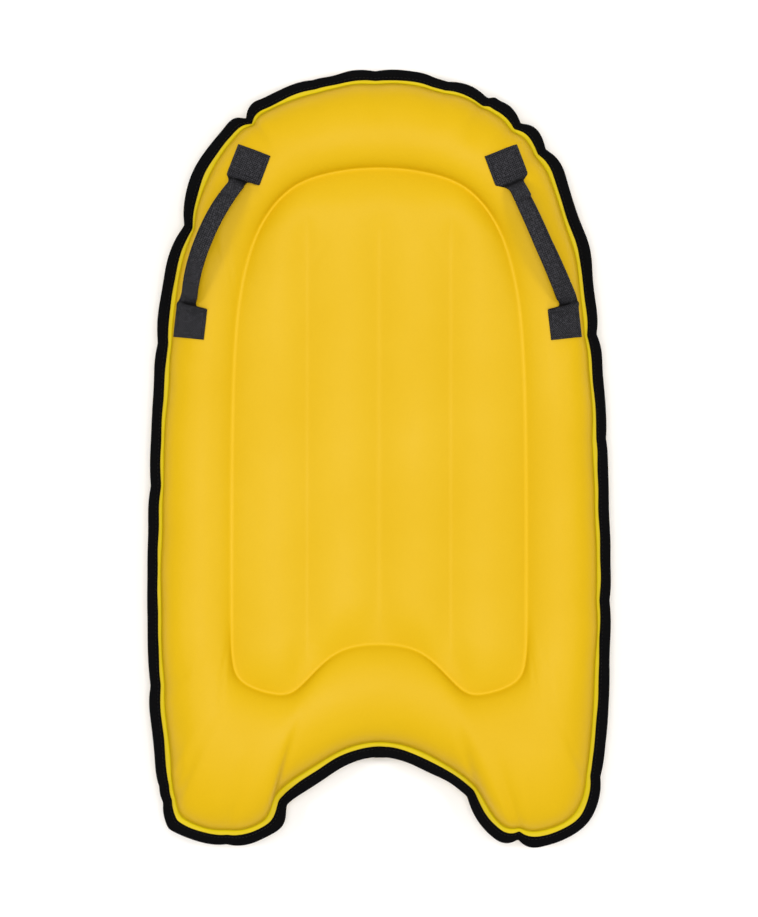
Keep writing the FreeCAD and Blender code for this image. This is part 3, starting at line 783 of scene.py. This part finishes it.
def make_panels():
    """The deck and slick panels: the same cloth, one each side of the weld plane."""
    points, faces, pattern, lift, kind = panel_grid()
    deck = new_mesh("deck_panel", place(points), faces)
    set_attribute(deck, "cloth", pattern * MM)
    set_attribute(deck, "lift", np.outer(lift, (0, 0, 1)))
    weld = np.where(kind == "weld", 1.0, 0.0)
    edge = np.where(kind == "flange", 1.0, 0.0)
    set_attribute(deck, "zones", np.column_stack([weld, edge, np.zeros(len(kind))]))
    pinned = (kind == "flange") | (kind == "weld") | ((kind == "mattress") & baffle_line(points))
    cut = points + (pattern - points) * np.where(kind == "tube", EXCESS, 0)[:, None]
    reach = np.where(kind == "mattress", MATTRESS_REACH, TUBE_REACH) * MM
    inflate(deck, pinned, place(cut), pressure=6.0, frames=18, reach=reach)
    subdivided(deck)
    slick = deck.copy()
    slick.data = deck.data.copy()
    slick.name = slick.data.name = "slick_panel"
    bpy.context.scene.collection.objects.link(slick)
    co = coordinates(deck)
    rise = np.empty(len(co) * 3, np.float32)
    deck.data.attributes["lift"].data.foreach_get("vector", rise)
    rise = rise.reshape(-1, 3) * MM
    set_coordinates(deck, co + rise)
    under = co * (1, 1, -1) + (0, 0, 2 * ORIGIN[2]) + rise
    under[:, 2] = np.maximum(under[:, 2], 0.1 * MM)     # it rests on the floor
    set_coordinates(slick, under)
    slick.data.flip_normals()
    for panel in (deck, slick):
        panel.data.attributes.remove(panel.data.attributes["lift"])
    return deck, slick


deck, slick = make_panels()
deck_tree = BVHTree.FromObject(deck, bpy.context.evaluated_depsgraph_get())

VALVE_SPOTS = [(0.0, -249.0), (35.5, -125.0)]
SKIN_HOLE = 7.6                  # radius
CUTTER_DEPTH = 60.0


def cut_round_holes(panel, spots, radius):
    """Round holes through the underside's panel, where the valves are welded in."""
    work = bmesh.new()
    for x, y in spots:
        where = Matrix.Translation(Vector(place((x, y, -CUTTER_DEPTH / 2))))
        bmesh.ops.create_cone(work, cap_ends=True, segments=48, radius1=radius * MM,
                              radius2=radius * MM, depth=CUTTER_DEPTH * MM, matrix=where)
    cutter = new_mesh("hole_cutter", [], [])
    work.to_mesh(cutter.data)
    work.free()
    modifier = panel.modifiers.new("holes", "BOOLEAN")
    modifier.object, modifier.operation, modifier.solver = cutter, "DIFFERENCE", "EXACT"
    apply_modifiers(panel)
    bpy.data.objects.remove(cutter)


for panel in (deck, slick):
    thickened(panel, FABRIC * MM)
cut_round_holes(slick, VALVE_SPOTS, SKIN_HOLE)
for panel in (deck, slick):
    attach(panel, "root")
stand_for(deck, DECK_FABRIC, "deck_fabric", "tube_deck_skin", "mattress_deck_skin")
stand_for(slick, SLICK_FABRIC, "slick_fabric", "tube_slick_skin", "mattress_slick_skin")


# ---------------------------------------------------------------- binding

TAIL_MIDDLE = KNOTS[len(STATIONS) - 1]
BINDING_STEPS = 1440
TAPE_START = 6.0                 # where the tape starts, short of the middle of the tail
TAPE_OVERLAP = 11.0
THREAD_INSET = 8.5
STITCHES = 575                   # on each face of the binding
# The folded tape's section: (distance in from the edge, height), round from the deck side.
TAPE_SECTION = [
    (TAPE_COVER, 0.92), (TAPE_COVER + 0.12, 1.5), (TAPE_COVER - 0.25, 2.0), (9.6, 2.05),
    (THREAD_INSET, 1.85), (7.2, 2.1), (5.4, 2.35), (3.4, 2.45), (1.7, 2.15), (0.5, 1.3), (0.0, 0.0),
]
TAPE_LINING = [(1.0, 0.0), (1.3, 0.75), (3.5, 0.9), (7.5, 0.9)]


def make_binding():
    """The tape, from just before the middle of the tail once round and over its own start."""
    u = np.linspace(TAIL_MIDDLE - TAPE_START, TAIL_MIDDLE - TAPE_START + KNOTS[-1] + TAPE_OVERLAP,
                    BINDING_STEPS)
    puckers = Puckers(u)
    section = TAPE_SECTION + [(d, -h) for d, h in reversed(TAPE_SECTION[:-1])]
    section += [(d, -h) for d, h in reversed(TAPE_LINING[1:])] + TAPE_LINING
    travel = travel_at(u) - travel_at(u[0])
    across = np.concatenate([[0], np.cumsum([math.dist(a, b) for a, b in zip(section, section[1:])])])
    wobble = 0.3 * np.sin(travel / 23.0) + 0.2 * np.sin(travel / 7.1 + 1.3)
    puff = 1 + 0.06 * np.sin(travel / 11.0 + 0.4) + 0.05 * np.sin(travel / 4.3)
    over = ease(travel, travel[-1] - 14, travel[-1] - 8) * 0.9
    rings = []
    for inset, height in section:
        plan = edge_offset(u, inset + wobble * inset / TAPE_COVER - over * 0.6, puckers)
        rise = height * puff + np.sign(height) * over
        rings.append(np.column_stack([plan, rise + puckers.lift]))
    points = np.stack(rings, 1).reshape(-1, 3)
    n = len(section)
    faces = ring_faces(len(u), n)
    faces += [tuple(reversed(range(n))), tuple((len(u) - 1) * n + i for i in range(n))]
    tape = new_mesh("edge_binding_tape", place(points), faces)
    set_attribute(tape, "cloth", np.stack([np.repeat(travel, n), np.tile(across, len(u)),
                                           np.zeros(len(u) * n)], 1) * MM)
    outward_normals(tape)
    return tape


def stitch_row(centres, directions, normals, length, width, height):
    """Points, faces and pattern coordinates of small rounded stitches, one for each centre."""
    ends, radii, sides = (-0.5, -0.36, 0.0, 0.36, 0.5), (0.25, 0.85, 1.0, 0.85, 0.25), 6
    points, faces, pattern = [], [], []
    for centre, direction, normal in zip(centres, directions, normals):
        side = np.cross(direction, normal)
        base = len(points)
        for end, radius in zip(ends, radii):
            for k in range(sides):
                a = 2 * math.pi * k / sides
                sag = height * (0.35 * (1 - (2 * end) ** 2) - 0.25)
                points.append(centre + direction * (end * length)
                              + side * (math.cos(a) * radius * width / 2)
                              + normal * (math.sin(a) * radius * height / 2 + sag))
                pattern.append((end * length + base * 0.01, a * width / 2, 0))
        faces += [tuple(base + i for i in face) for face in ring_faces(len(ends), sides)]
        faces.append(tuple(base + k for k in reversed(range(sides))))
        faces.append(tuple(base + (len(ends) - 1) * sides + k for k in range(sides)))
    return points, faces, pattern


def stitch_object(name, rows):
    points, faces, pattern = [], [], []
    for row_points, row_faces, row_pattern in rows:
        base = len(points)
        points += row_points
        pattern += row_pattern
        faces += [tuple(i + base for i in f) for f in row_faces]
    obj = new_mesh(name, place(points), faces)
    set_attribute(obj, "cloth", np.array(pattern) * MM)
    outward_normals(obj)
    return obj


def make_binding_stitches():
    u = edge_at(np.arange(STITCHES) / STITCHES * EDGE_LENGTH)
    puckers = Puckers(u)
    middle = edge_offset(u, THREAD_INSET, puckers)
    ahead = np.roll(middle, -1, axis=0) - np.roll(middle, 1, axis=0)
    ahead /= np.linalg.norm(ahead, axis=1, keepdims=True)
    directions = np.column_stack([ahead, np.zeros(STITCHES)])
    rows = []
    for side in (1, -1):
        centres = np.column_stack([middle, puckers.lift + side * 2.1])
        normals = np.tile((0.0, 0.0, float(side)), (STITCHES, 1))
        rows.append(stitch_row(centres, directions, normals, length=2.7, width=0.85, height=0.6))
    return stitch_object("binding_stitching", rows)


tape = make_binding()
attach(tape, "root")
stand_for(tape, BINDING_TAPE, "binding_tape", "edge_binding")
stitching = make_binding_stitches()
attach(stitching, "root")
stand_for(stitching, THREAD, "binding_thread", "binding_deck_thread", "binding_slick_thread")


# ---------------------------------------------------------------- handles

WEBBING_WIDTH = 38.0
WEBBING = 1.5
FOLDED_WIDTH = WEBBING_WIDTH / 2
FRONT_TAB = ((134.0, 307.5), 21.0, 35.0)      # right tab: centre, turn outward, width in plan
REAR_TAB = ((195.5, 141.5), 6.5, 31.0)
TAB_LENGTH = 31.0
TAB_CLEARANCE = 0.3                           # between the webbing and the deck
ABOVE_ALL = 200.0
STRAP_SHIFT = 5.5                             # of the strap outward from the rear tab's middle
GRIP_SHARE = 0.64                             # of the strap's arc that moves rigidly
TUCK = 3.0                                    # each end piece goes this far into the grip
OPEN_BEND = 11.0                              # webbing that bends where the fold begins
FOLD_BEND = 3.2                               # and in the finished fold
FLAP_STEPS = 12
HANDLE_JOINTS = {j["child"]: j for j in frame["joints"]}


class Handle:
    """A strap of webbing folded in half lengthwise, between two flat tabs sewn to the deck.

    s runs along the webbing from the front tab's far edge, and outward is away from the board's
    middle.  The arc leans outward; offsets and squeeze are given at its front, middle and rear.
    nudge moves the tabs outward and towards the nose.
    """

    def __init__(self, side, lean, rise, offsets, squeeze, nudge):
        self.side, self.sign = side, 1 if side == "right" else -1
        self.nudge = np.array((self.sign * nudge[0], nudge[1]))
        joint = HANDLE_JOINTS[side + "_handle"]
        self.front = (np.array(joint["pos_m"]) - ORIGIN) / MM
        chord = np.array(joint["axis"], float) * (-1 if joint["axis"][1] > 0 else 1)
        (x, y), turn, _ = REAR_TAB
        forward, outward = self.plan(turn)
        rear = np.array((self.sign * x, y)) - forward * (TAB_LENGTH / 2 + 1) + outward * STRAP_SHIFT
        length = (rear[1] - self.front[1]) / chord[1]
        self.axis = chord
        upright = np.array((0, 0, 1.0)) - chord * chord[2]
        upright /= np.linalg.norm(upright)
        out = np.cross(upright, chord) * self.sign
        a = math.radians(lean)
        self.rise = upright * math.cos(a) + out * math.sin(a)
        self.across = out * math.cos(a) - upright * math.sin(a)
        self.radius = (length ** 2 / 4 + rise ** 2) / (2 * rise)
        self.centre = self.front + chord * length / 2 - self.rise * (self.radius - rise)
        self.half = math.asin(length / 2 / self.radius)
        self.free = 2 * self.half * self.radius + 2
        self.offsets, self.squeeze = offsets, squeeze
        self.whole = 2 * TAB_LENGTH + self.free

    def plan(self, turn):
        a = math.radians(turn)
        return (np.array((self.sign * math.sin(a), -math.cos(a))),
                np.array((self.sign * math.cos(a), math.sin(a))))

    def along_arc(self, s):
        """Position along the arc, from -1 at the front anchor to 1 at the rear one."""
        return (s - TAB_LENGTH - self.free / 2) / (self.half * self.radius)

    def on_deck(self, s, w, h):
        """A point of the webbing lying on the deck, w outward of its middle and h above."""
        front = s < self.whole / 2
        (x, y), turn, width = FRONT_TAB if front else REAR_TAB
        from_middle = s - TAB_LENGTH / 2 if front else s - self.whole + TAB_LENGTH / 2
        forward, outward = self.plan(turn)
        spot = (np.array((self.sign * x, y)) + self.nudge + forward * from_middle
                + outward * (w * width / WEBBING_WIDTH))
        start = Vector(place((spot[0], spot[1], ABOVE_ALL)))
        hit, normal, _, _ = deck_tree.ray_cast(start, Vector((0, 0, -1)))
        foot = (np.array(hit) - ORIGIN) / MM
        up = np.array(normal) * (1 if normal.z > 0 else -1)
        return foot + up * (h + TAB_CLEARANCE + WEBBING / 2)

    def in_air(self, s, a, h):
        """A point of the strap's arc, a outward of its middle and h above."""
        share = self.along_arc(s)
        angle = share * self.half
        out = self.rise * math.cos(angle) + self.axis * math.sin(angle)
        offset = np.interp(share, (-1, 0, 1), self.offsets)
        squeeze = np.interp(share, (-1, -0.5, 0, 1), self.squeeze)
        return (self.centre + out * (self.radius + h) + self.across * (offset + a * squeeze))

    def point(self, s, a, shift, h):
        """A point of the folded section, which is shift off the webbing's middle where flat."""
        from_tab = min(s, self.whole - s) - TAB_LENGTH
        lifted = float(ease(from_tab, -1, 17))
        deck_point = self.on_deck(s, a + shift, h) if lifted < 1 else 0
        air_point = self.in_air(s, a, h) if lifted > 0 else 0
        return deck_point * (1 - lifted) + air_point * lifted


def flap(reach, turn, bend):
    """Outward and upward travel of webbing past a fold: it turns over a length bend."""
    turned = turn * min(reach / bend, 1)
    if abs(turn) < 1e-4:
        return reach, 0.0
    out, up = bend / turn * math.sin(turned), bend / turn * (1 - math.cos(turned))
    beyond = max(0.0, reach - bend)
    return out + beyond * math.cos(turn), up + beyond * math.sin(turn)


def fold_section(inner, outer, amount, over):
    """The webbing's section with an inner and an outer flap folded by amount, 0 to 1.

    over is 1 where the flaps fold over the strap, and -1 where they fold under it.  Gives
    closed outlines of (outward, up, distance across the webbing), and the middle's shift.
    """
    turn = math.pi * (1 - (1 - amount) ** 2)
    bend = OPEN_BEND + (FOLD_BEND - OPEN_BEND) * amount
    crumple = 1 - 0.35 * math.sin(math.pi * min(amount, 1))
    half = WEBBING_WIDTH / 2
    inner_fold, outer_fold = -half + inner, half - outer
    shift = (inner_fold + outer_fold) / 2 * ease(amount, 0, 0.5)
    line = []
    for k in range(FLAP_STEPS if inner else 0, 0, -1):
        reach = inner * (k / FLAP_STEPS) ** 1.5
        out, up = flap(reach, turn, min(bend, inner))
        line.append((inner_fold - out, over * up * crumple, inner_fold - reach))
    for w in np.linspace(inner_fold, outer_fold, FLAP_STEPS + 1):
        line.append((w, 0.0, w))
    for k in range(1, FLAP_STEPS + 1 if outer else 1):
        reach = outer * (k / FLAP_STEPS) ** 1.5
        out, up = flap(reach, turn, min(bend, outer))
        line.append((outer_fold + out, over * up * crumple, outer_fold + reach))
    line = np.array([(a - shift, h, w) for a, h, w in line])
    line[:, 1] -= over * FOLD_BEND / math.pi * amount
    tangent = np.gradient(line[:, :2], axis=0)
    tangent /= np.linalg.norm(tangent, axis=1, keepdims=True)
    normal = np.stack([-tangent[:, 1], tangent[:, 0]], 1)
    top, low = line.copy(), line.copy()
    top[:, :2] += normal * WEBBING / 2
    low[:, :2] -= normal * WEBBING / 2
    tips = []
    for end, direction in ((0, -1), (-1, 1)):
        tip = line[end].copy()
        tip[:2] += tangent[end] * direction * WEBBING * 0.4
        tips.append(tip)
    return np.concatenate([[tips[0]], top, [tips[1]], low[::-1]]), shift


def strap_mesh(name, handle, stations, fold_at, thin):
    """A piece of strap through stations of s, with the fold and the thinness at each one.

    The pattern's third coordinate is highest where the webbing is half folded; the webbing's material
    paints shade there.
    """
    rings, pattern = [], []
    for s in stations:
        section, shift = fold_section(*fold_at(s))
        scale = thin(s)
        rings.append([handle.point(s, a * (1 - (1 - scale) * 0.5), shift, h * scale)
                      for a, h, _ in section])
        amount = fold_at(s)[2]
        pattern.append([(w, s, (4 * amount * (1 - amount)) ** 2) for _, _, w in section])
    n = len(rings[0])
    points = np.array(rings).reshape(-1, 3)
    faces = ring_faces(len(rings), n)
    last = (len(rings) - 1) * n
    for k in range(n // 2 - 1):
        # The ends are strips of quads between the upper and the lower face.
        a, b, c, d = k, k + 1, n - 1 - k, (n - k) % n
        faces.append((a, b, c, d) if k else (0, 1, n - 1))
        far = [last + i for i in ((d, c, b, a) if k else (n - 1, 1, 0))]
        faces.append(tuple(far))
    middle = n // 2
    tip = (middle - 1, middle, middle + 1)
    faces += [tip, tuple(last + i for i in reversed(tip))]
    obj = new_mesh(name, place(points), faces)
    set_attribute(obj, "cloth", np.array(pattern).reshape(-1, 3) * MM)
    outward_normals(obj)
    return obj


def handle_stitches(handle, rows, name, fold_at):
    """Rows of stitches on a strap: each row is a list of (s, a) places, in order."""
    built = []
    for row in rows:
        spots = []
        for s, a in row:
            section, shift = fold_section(*fold_at(s))
            near = section[np.abs(section[:, 0] - (a - shift if fold_at(s)[2] == 0 else a)) < 2.2]
            top = near[:, 1].max() if len(near) else WEBBING
            spots.append((handle.point(s, a, shift, top),
                          handle.point(s, a, shift, top + 1) - handle.point(s, a, shift, top)))
        places = np.array([p for p, _ in spots])
        normals = np.array([n / np.linalg.norm(n) for _, n in spots])
        ahead = np.gradient(places, axis=0)
        ahead /= np.linalg.norm(ahead, axis=1, keepdims=True)
        built.append(stitch_row(places + normals * 0.12, ahead, normals, length=2.1, width=0.75,
                                height=0.55))
    return stitch_object(name, built)


def across_row(s, half, count):
    return [(s, -half + 2 * half * k / (count - 1)) for k in range(count)]


def along_row(low, high, a, count):
    return [(low + (high - low) * k / (count - 1), a) for k in range(count)]


def make_handle(side, lean, rise, offsets, squeeze, nudge, front_fold, rear_fold):
    handle = Handle(side, lean, rise, offsets, squeeze, nudge)
    body = side + "_handle"
    grip_low = TAB_LENGTH + handle.free / 2 - GRIP_SHARE * handle.half * handle.radius
    grip_high = handle.whole - grip_low

    def end_fold(s):
        inner, outer, over = front_fold if s < handle.whole / 2 else rear_fold
        from_tab = min(s, handle.whole - s) - TAB_LENGTH
        return inner, outer, float(ease(from_tab, 0.0, 13.0)), over

    def grip_fold(s):
        return FOLDED_WIDTH, 0.0, 1.0, 1

    def flat(s):
        return FOLDED_WIDTH, 0.0, 0.0, 1

    def full(s):
        return 1.0

    def tucked(s):
        inside = min(s, handle.whole - s) - grip_low
        return 1.0 - 0.3 * float(ease(inside, -1.5, 0.5))

    tab = np.linspace(0, TAB_LENGTH, 16)
    bend = np.linspace(TAB_LENGTH, grip_low + TUCK, 34)[1:]
    front_rows = np.concatenate([tab, bend])
    pieces = {
        "front_end": (front_rows, end_fold, tucked, ("front_tab", "front_bend")),
        "rear_end": (handle.whole - front_rows[::-1], end_fold, tucked, ("rear_tab", "rear_bend")),
        "strap": (np.linspace(grip_low, grip_high, 60), grip_fold, full, ("grip",)),
    }
    for name, (stations, fold_at, thin, nodes) in pieces.items():
        piece = strap_mesh("%s_webbing_%s" % (side, name), handle, stations, fold_at, thin)
        if name == "strap":
            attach(piece, body)
        else:
            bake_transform(piece)
        stand_for(piece, WEBBING_CLOTH, "webbing", *["%s_%s" % (body, n) for n in nodes])

    half = WEBBING_WIDTH / 2 - 3.2
    tab_rows = []
    for far, near in ((2.8, TAB_LENGTH - 2.6),
                      (handle.whole - 2.8, handle.whole - TAB_LENGTH + 2.6)):
        low, high = sorted((far, near))
        tab_rows += [across_row(far, half, 11), across_row(near, half, 11)]
        tab_rows += [along_row(low + 3, high - 3, a, 8) for a in (-half, half)]
    tab_stitches = handle_stitches(handle, tab_rows, side + "_tab_stitches", flat)
    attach(tab_stitches, "root")
    stand_for(tab_stitches, HANDLE_THREAD, "handle_thread", body + "_tab_stitching")
    seam = FOLDED_WIDTH / 2 - 2.4
    strap_rows = [along_row(grip_low + 3, grip_high - 3, seam, 29),
                  across_row(grip_low + 2.2, FOLDED_WIDTH / 2 - 2, 6),
                  across_row(grip_high - 2.2, FOLDED_WIDTH / 2 - 2, 6)]
    strap_stitches = handle_stitches(handle, strap_rows, side + "_strap_stitches", grip_fold)
    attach(strap_stitches, body)
    stand_for(strap_stitches, HANDLE_THREAD, "handle_thread", body + "_grip_seam")


OVER_INNER = (FOLDED_WIDTH, 0.0, 1)
BOTH_UNDER = (FOLDED_WIDTH / 2, FOLDED_WIDTH / 2, -1)
make_handle("left", lean=27, rise=27, offsets=(-4.2, -4.0, -2.2), squeeze=(0.9, 1, 1, 0.97),
            nudge=(1.3, -1.6), front_fold=OVER_INNER, rear_fold=OVER_INNER)
make_handle("right", lean=5, rise=25, offsets=(-7.0, -5.8, -1.2), squeeze=(0.76, 0.86, 0.9, 1.0),
            nudge=(-1.8, -2.0), front_fold=BOTH_UNDER, rear_fold=OVER_INNER)


# ---------------------------------------------------------------- inside, and the valves

BAFFLE_FABRIC = coated_fabric("baffle_fabric", (0.6, 0.43, 0.05))


def keep(node, material, fabric=False):
    """Shows a CAD node as it is, in a material; a fabric one gets its pattern coordinates."""
    obj = frame["nodes"][node]
    dress(obj, material)
    if fabric:
        co = coordinates(obj)
        set_attribute(obj, "cloth", np.column_stack([co[:, 0] + co[:, 1], co[:, 2], co[:, 0] * 0]))
        set_attribute(obj, "zones", np.zeros((len(co), 3)))


for node in ("centre_baffle", "left_baffle", "right_baffle", "inner_wall"):
    keep(node, BAFFLE_FABRIC, fabric=True)


RIDGE_DEPTH = 0.35


def lathe(name, profile, low, high, ridges):
    """Turns (radius, height) pairs about the middle of a box; ridges run round the widest part."""
    segments = max(96, ridges * 6)
    profile = [(r * MM, h * MM) for r, h in profile]
    widest = max(r for r, _ in profile)
    middle = (Vector(low) + Vector(high)) / 2
    points = []
    for k in range(segments):
        a = 2 * math.pi * k / segments
        groove = RIDGE_DEPTH * MM * (0.5 - 0.5 * math.cos(ridges * a))
        for r, h in profile:
            r = r - groove if r > widest * 0.96 else r
            points.append((middle.x + r * math.cos(a), middle.y + r * math.sin(a), low.z + h))
    obj = new_mesh(name, points, ring_faces(segments, len(profile), closed=True))
    outward_normals(obj, join_closer=0.001 * MM)
    return obj


CAP_PROFILE = [
    (0.0, 0.5), (2.2, 0.5), (2.7, 0.35), (3.1, 0.05), (6.6, 0.0), (7.2, 0.15), (7.5, 0.45),
    (7.5, 1.1), (7.2, 1.45), (6.9, 1.5), (4.44, 1.5), (4.44, 2.6), (4.2, 2.8), (4.2, 4.8),
    (4.44, 5.0), (4.44, 7.9), (4.0, 8.4), (3.6, 8.5), (0.0, 8.5),
]
STEM_PROFILE = [
    (4.5, 0.2), (4.8, 0.0), (8.1, 0.0), (8.4, 0.15), (8.5, 0.4), (8.5, 0.8), (8.35, 1.1), (8.0, 1.2),
    (6.93, 1.2), (6.93, 3.4), (6.7, 3.6), (6.7, 4.4), (6.93, 4.6), (6.93, 8.4), (6.7, 8.6),
    (6.7, 9.4), (6.93, 9.6), (6.93, 16.5), (6.6, 17.0), (6.2, 17.1), (4.7, 17.1), (4.5, 16.9),
]
for valve in ("tube_valve", "mattress_valve"):
    for part, finish in (("flange", FLANGE_PLASTIC), ("flap", STEM_PLASTIC), ("tether", CAP_PLASTIC)):
        keep("%s_%s" % (valve, part), finish)
    for part, profile, ridges, finish in (("stem", STEM_PROFILE, 0, STEM_PLASTIC),
                                          ("cap", CAP_PROFILE, 36, CAP_PLASTIC)):
        node = "%s_%s" % (valve, part)
        turned = lathe(node + "_turned", profile, *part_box(node), ridges)
        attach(turned, node)
        stand_for(turned, finish, "valve_" + part, node)


# ---------------------------------------------------------------- camera, lights and floor

def add_camera():
    """A long lens that looks straight down on the deck; view_height is seen at the middle plane."""
    data = bpy.data.cameras.new("camera")
    camera = bpy.data.objects.new("camera", data)
    bpy.context.scene.collection.objects.link(camera)
    bpy.context.scene.camera = camera
    distance, view_height = 5.0, 0.9629
    data.lens = data.sensor_width * distance / view_height
    camera.location = (0, -0.0007, ORIGIN[2] + distance)


def add_area(name, location, size, power):
    data = bpy.data.lights.new(name, "AREA")
    data.shape = "SQUARE"
    data.size = size
    data.energy = power
    light = bpy.data.objects.new(name, data)
    bpy.context.scene.collection.objects.link(light)
    light.location = location
    light.rotation_euler = (-Vector(location)).to_track_quat("-Z", "Y").to_euler()


def add_studio():
    world = bpy.data.worlds.new("studio")
    bpy.context.scene.world = world
    world.use_nodes = True
    background = world.node_tree.nodes["Background"]
    background.inputs["Color"].default_value = (1, 1, 1, 1)
    background.inputs["Strength"].default_value = 0.5
    add_area("overhead", (0, 0, 6.0), 2.0, 168)
    add_area("left_box", (-3.1, 0.3, 5.2), 1.1, 80)
    add_area("right_box", (3.1, 0.3, 5.2), 1.1, 80)
    add_area("nose_side", (-0.6, 2.8, 3.6), 2.2, 16)
    add_area("tail_side", (0.6, -2.8, 3.6), 2.2, 16)
    floor = new_mesh("floor", [(-12, -12, 0), (12, -12, 0), (12, 12, 0), (-12, 12, 0)],
                     [(0, 1, 2, 3)])
    material = bpy.data.materials.new("floor")
    material.use_nodes = True
    shader = material.node_tree.nodes["Principled BSDF"]
    shader.inputs["Base Color"].default_value = (0.92, 0.92, 0.92, 1)
    shader.inputs["Roughness"].default_value = 0.9
    floor.data.materials.append(material)
    bpy.context.scene.view_settings.view_transform = "Standard"


add_camera()
add_studio()
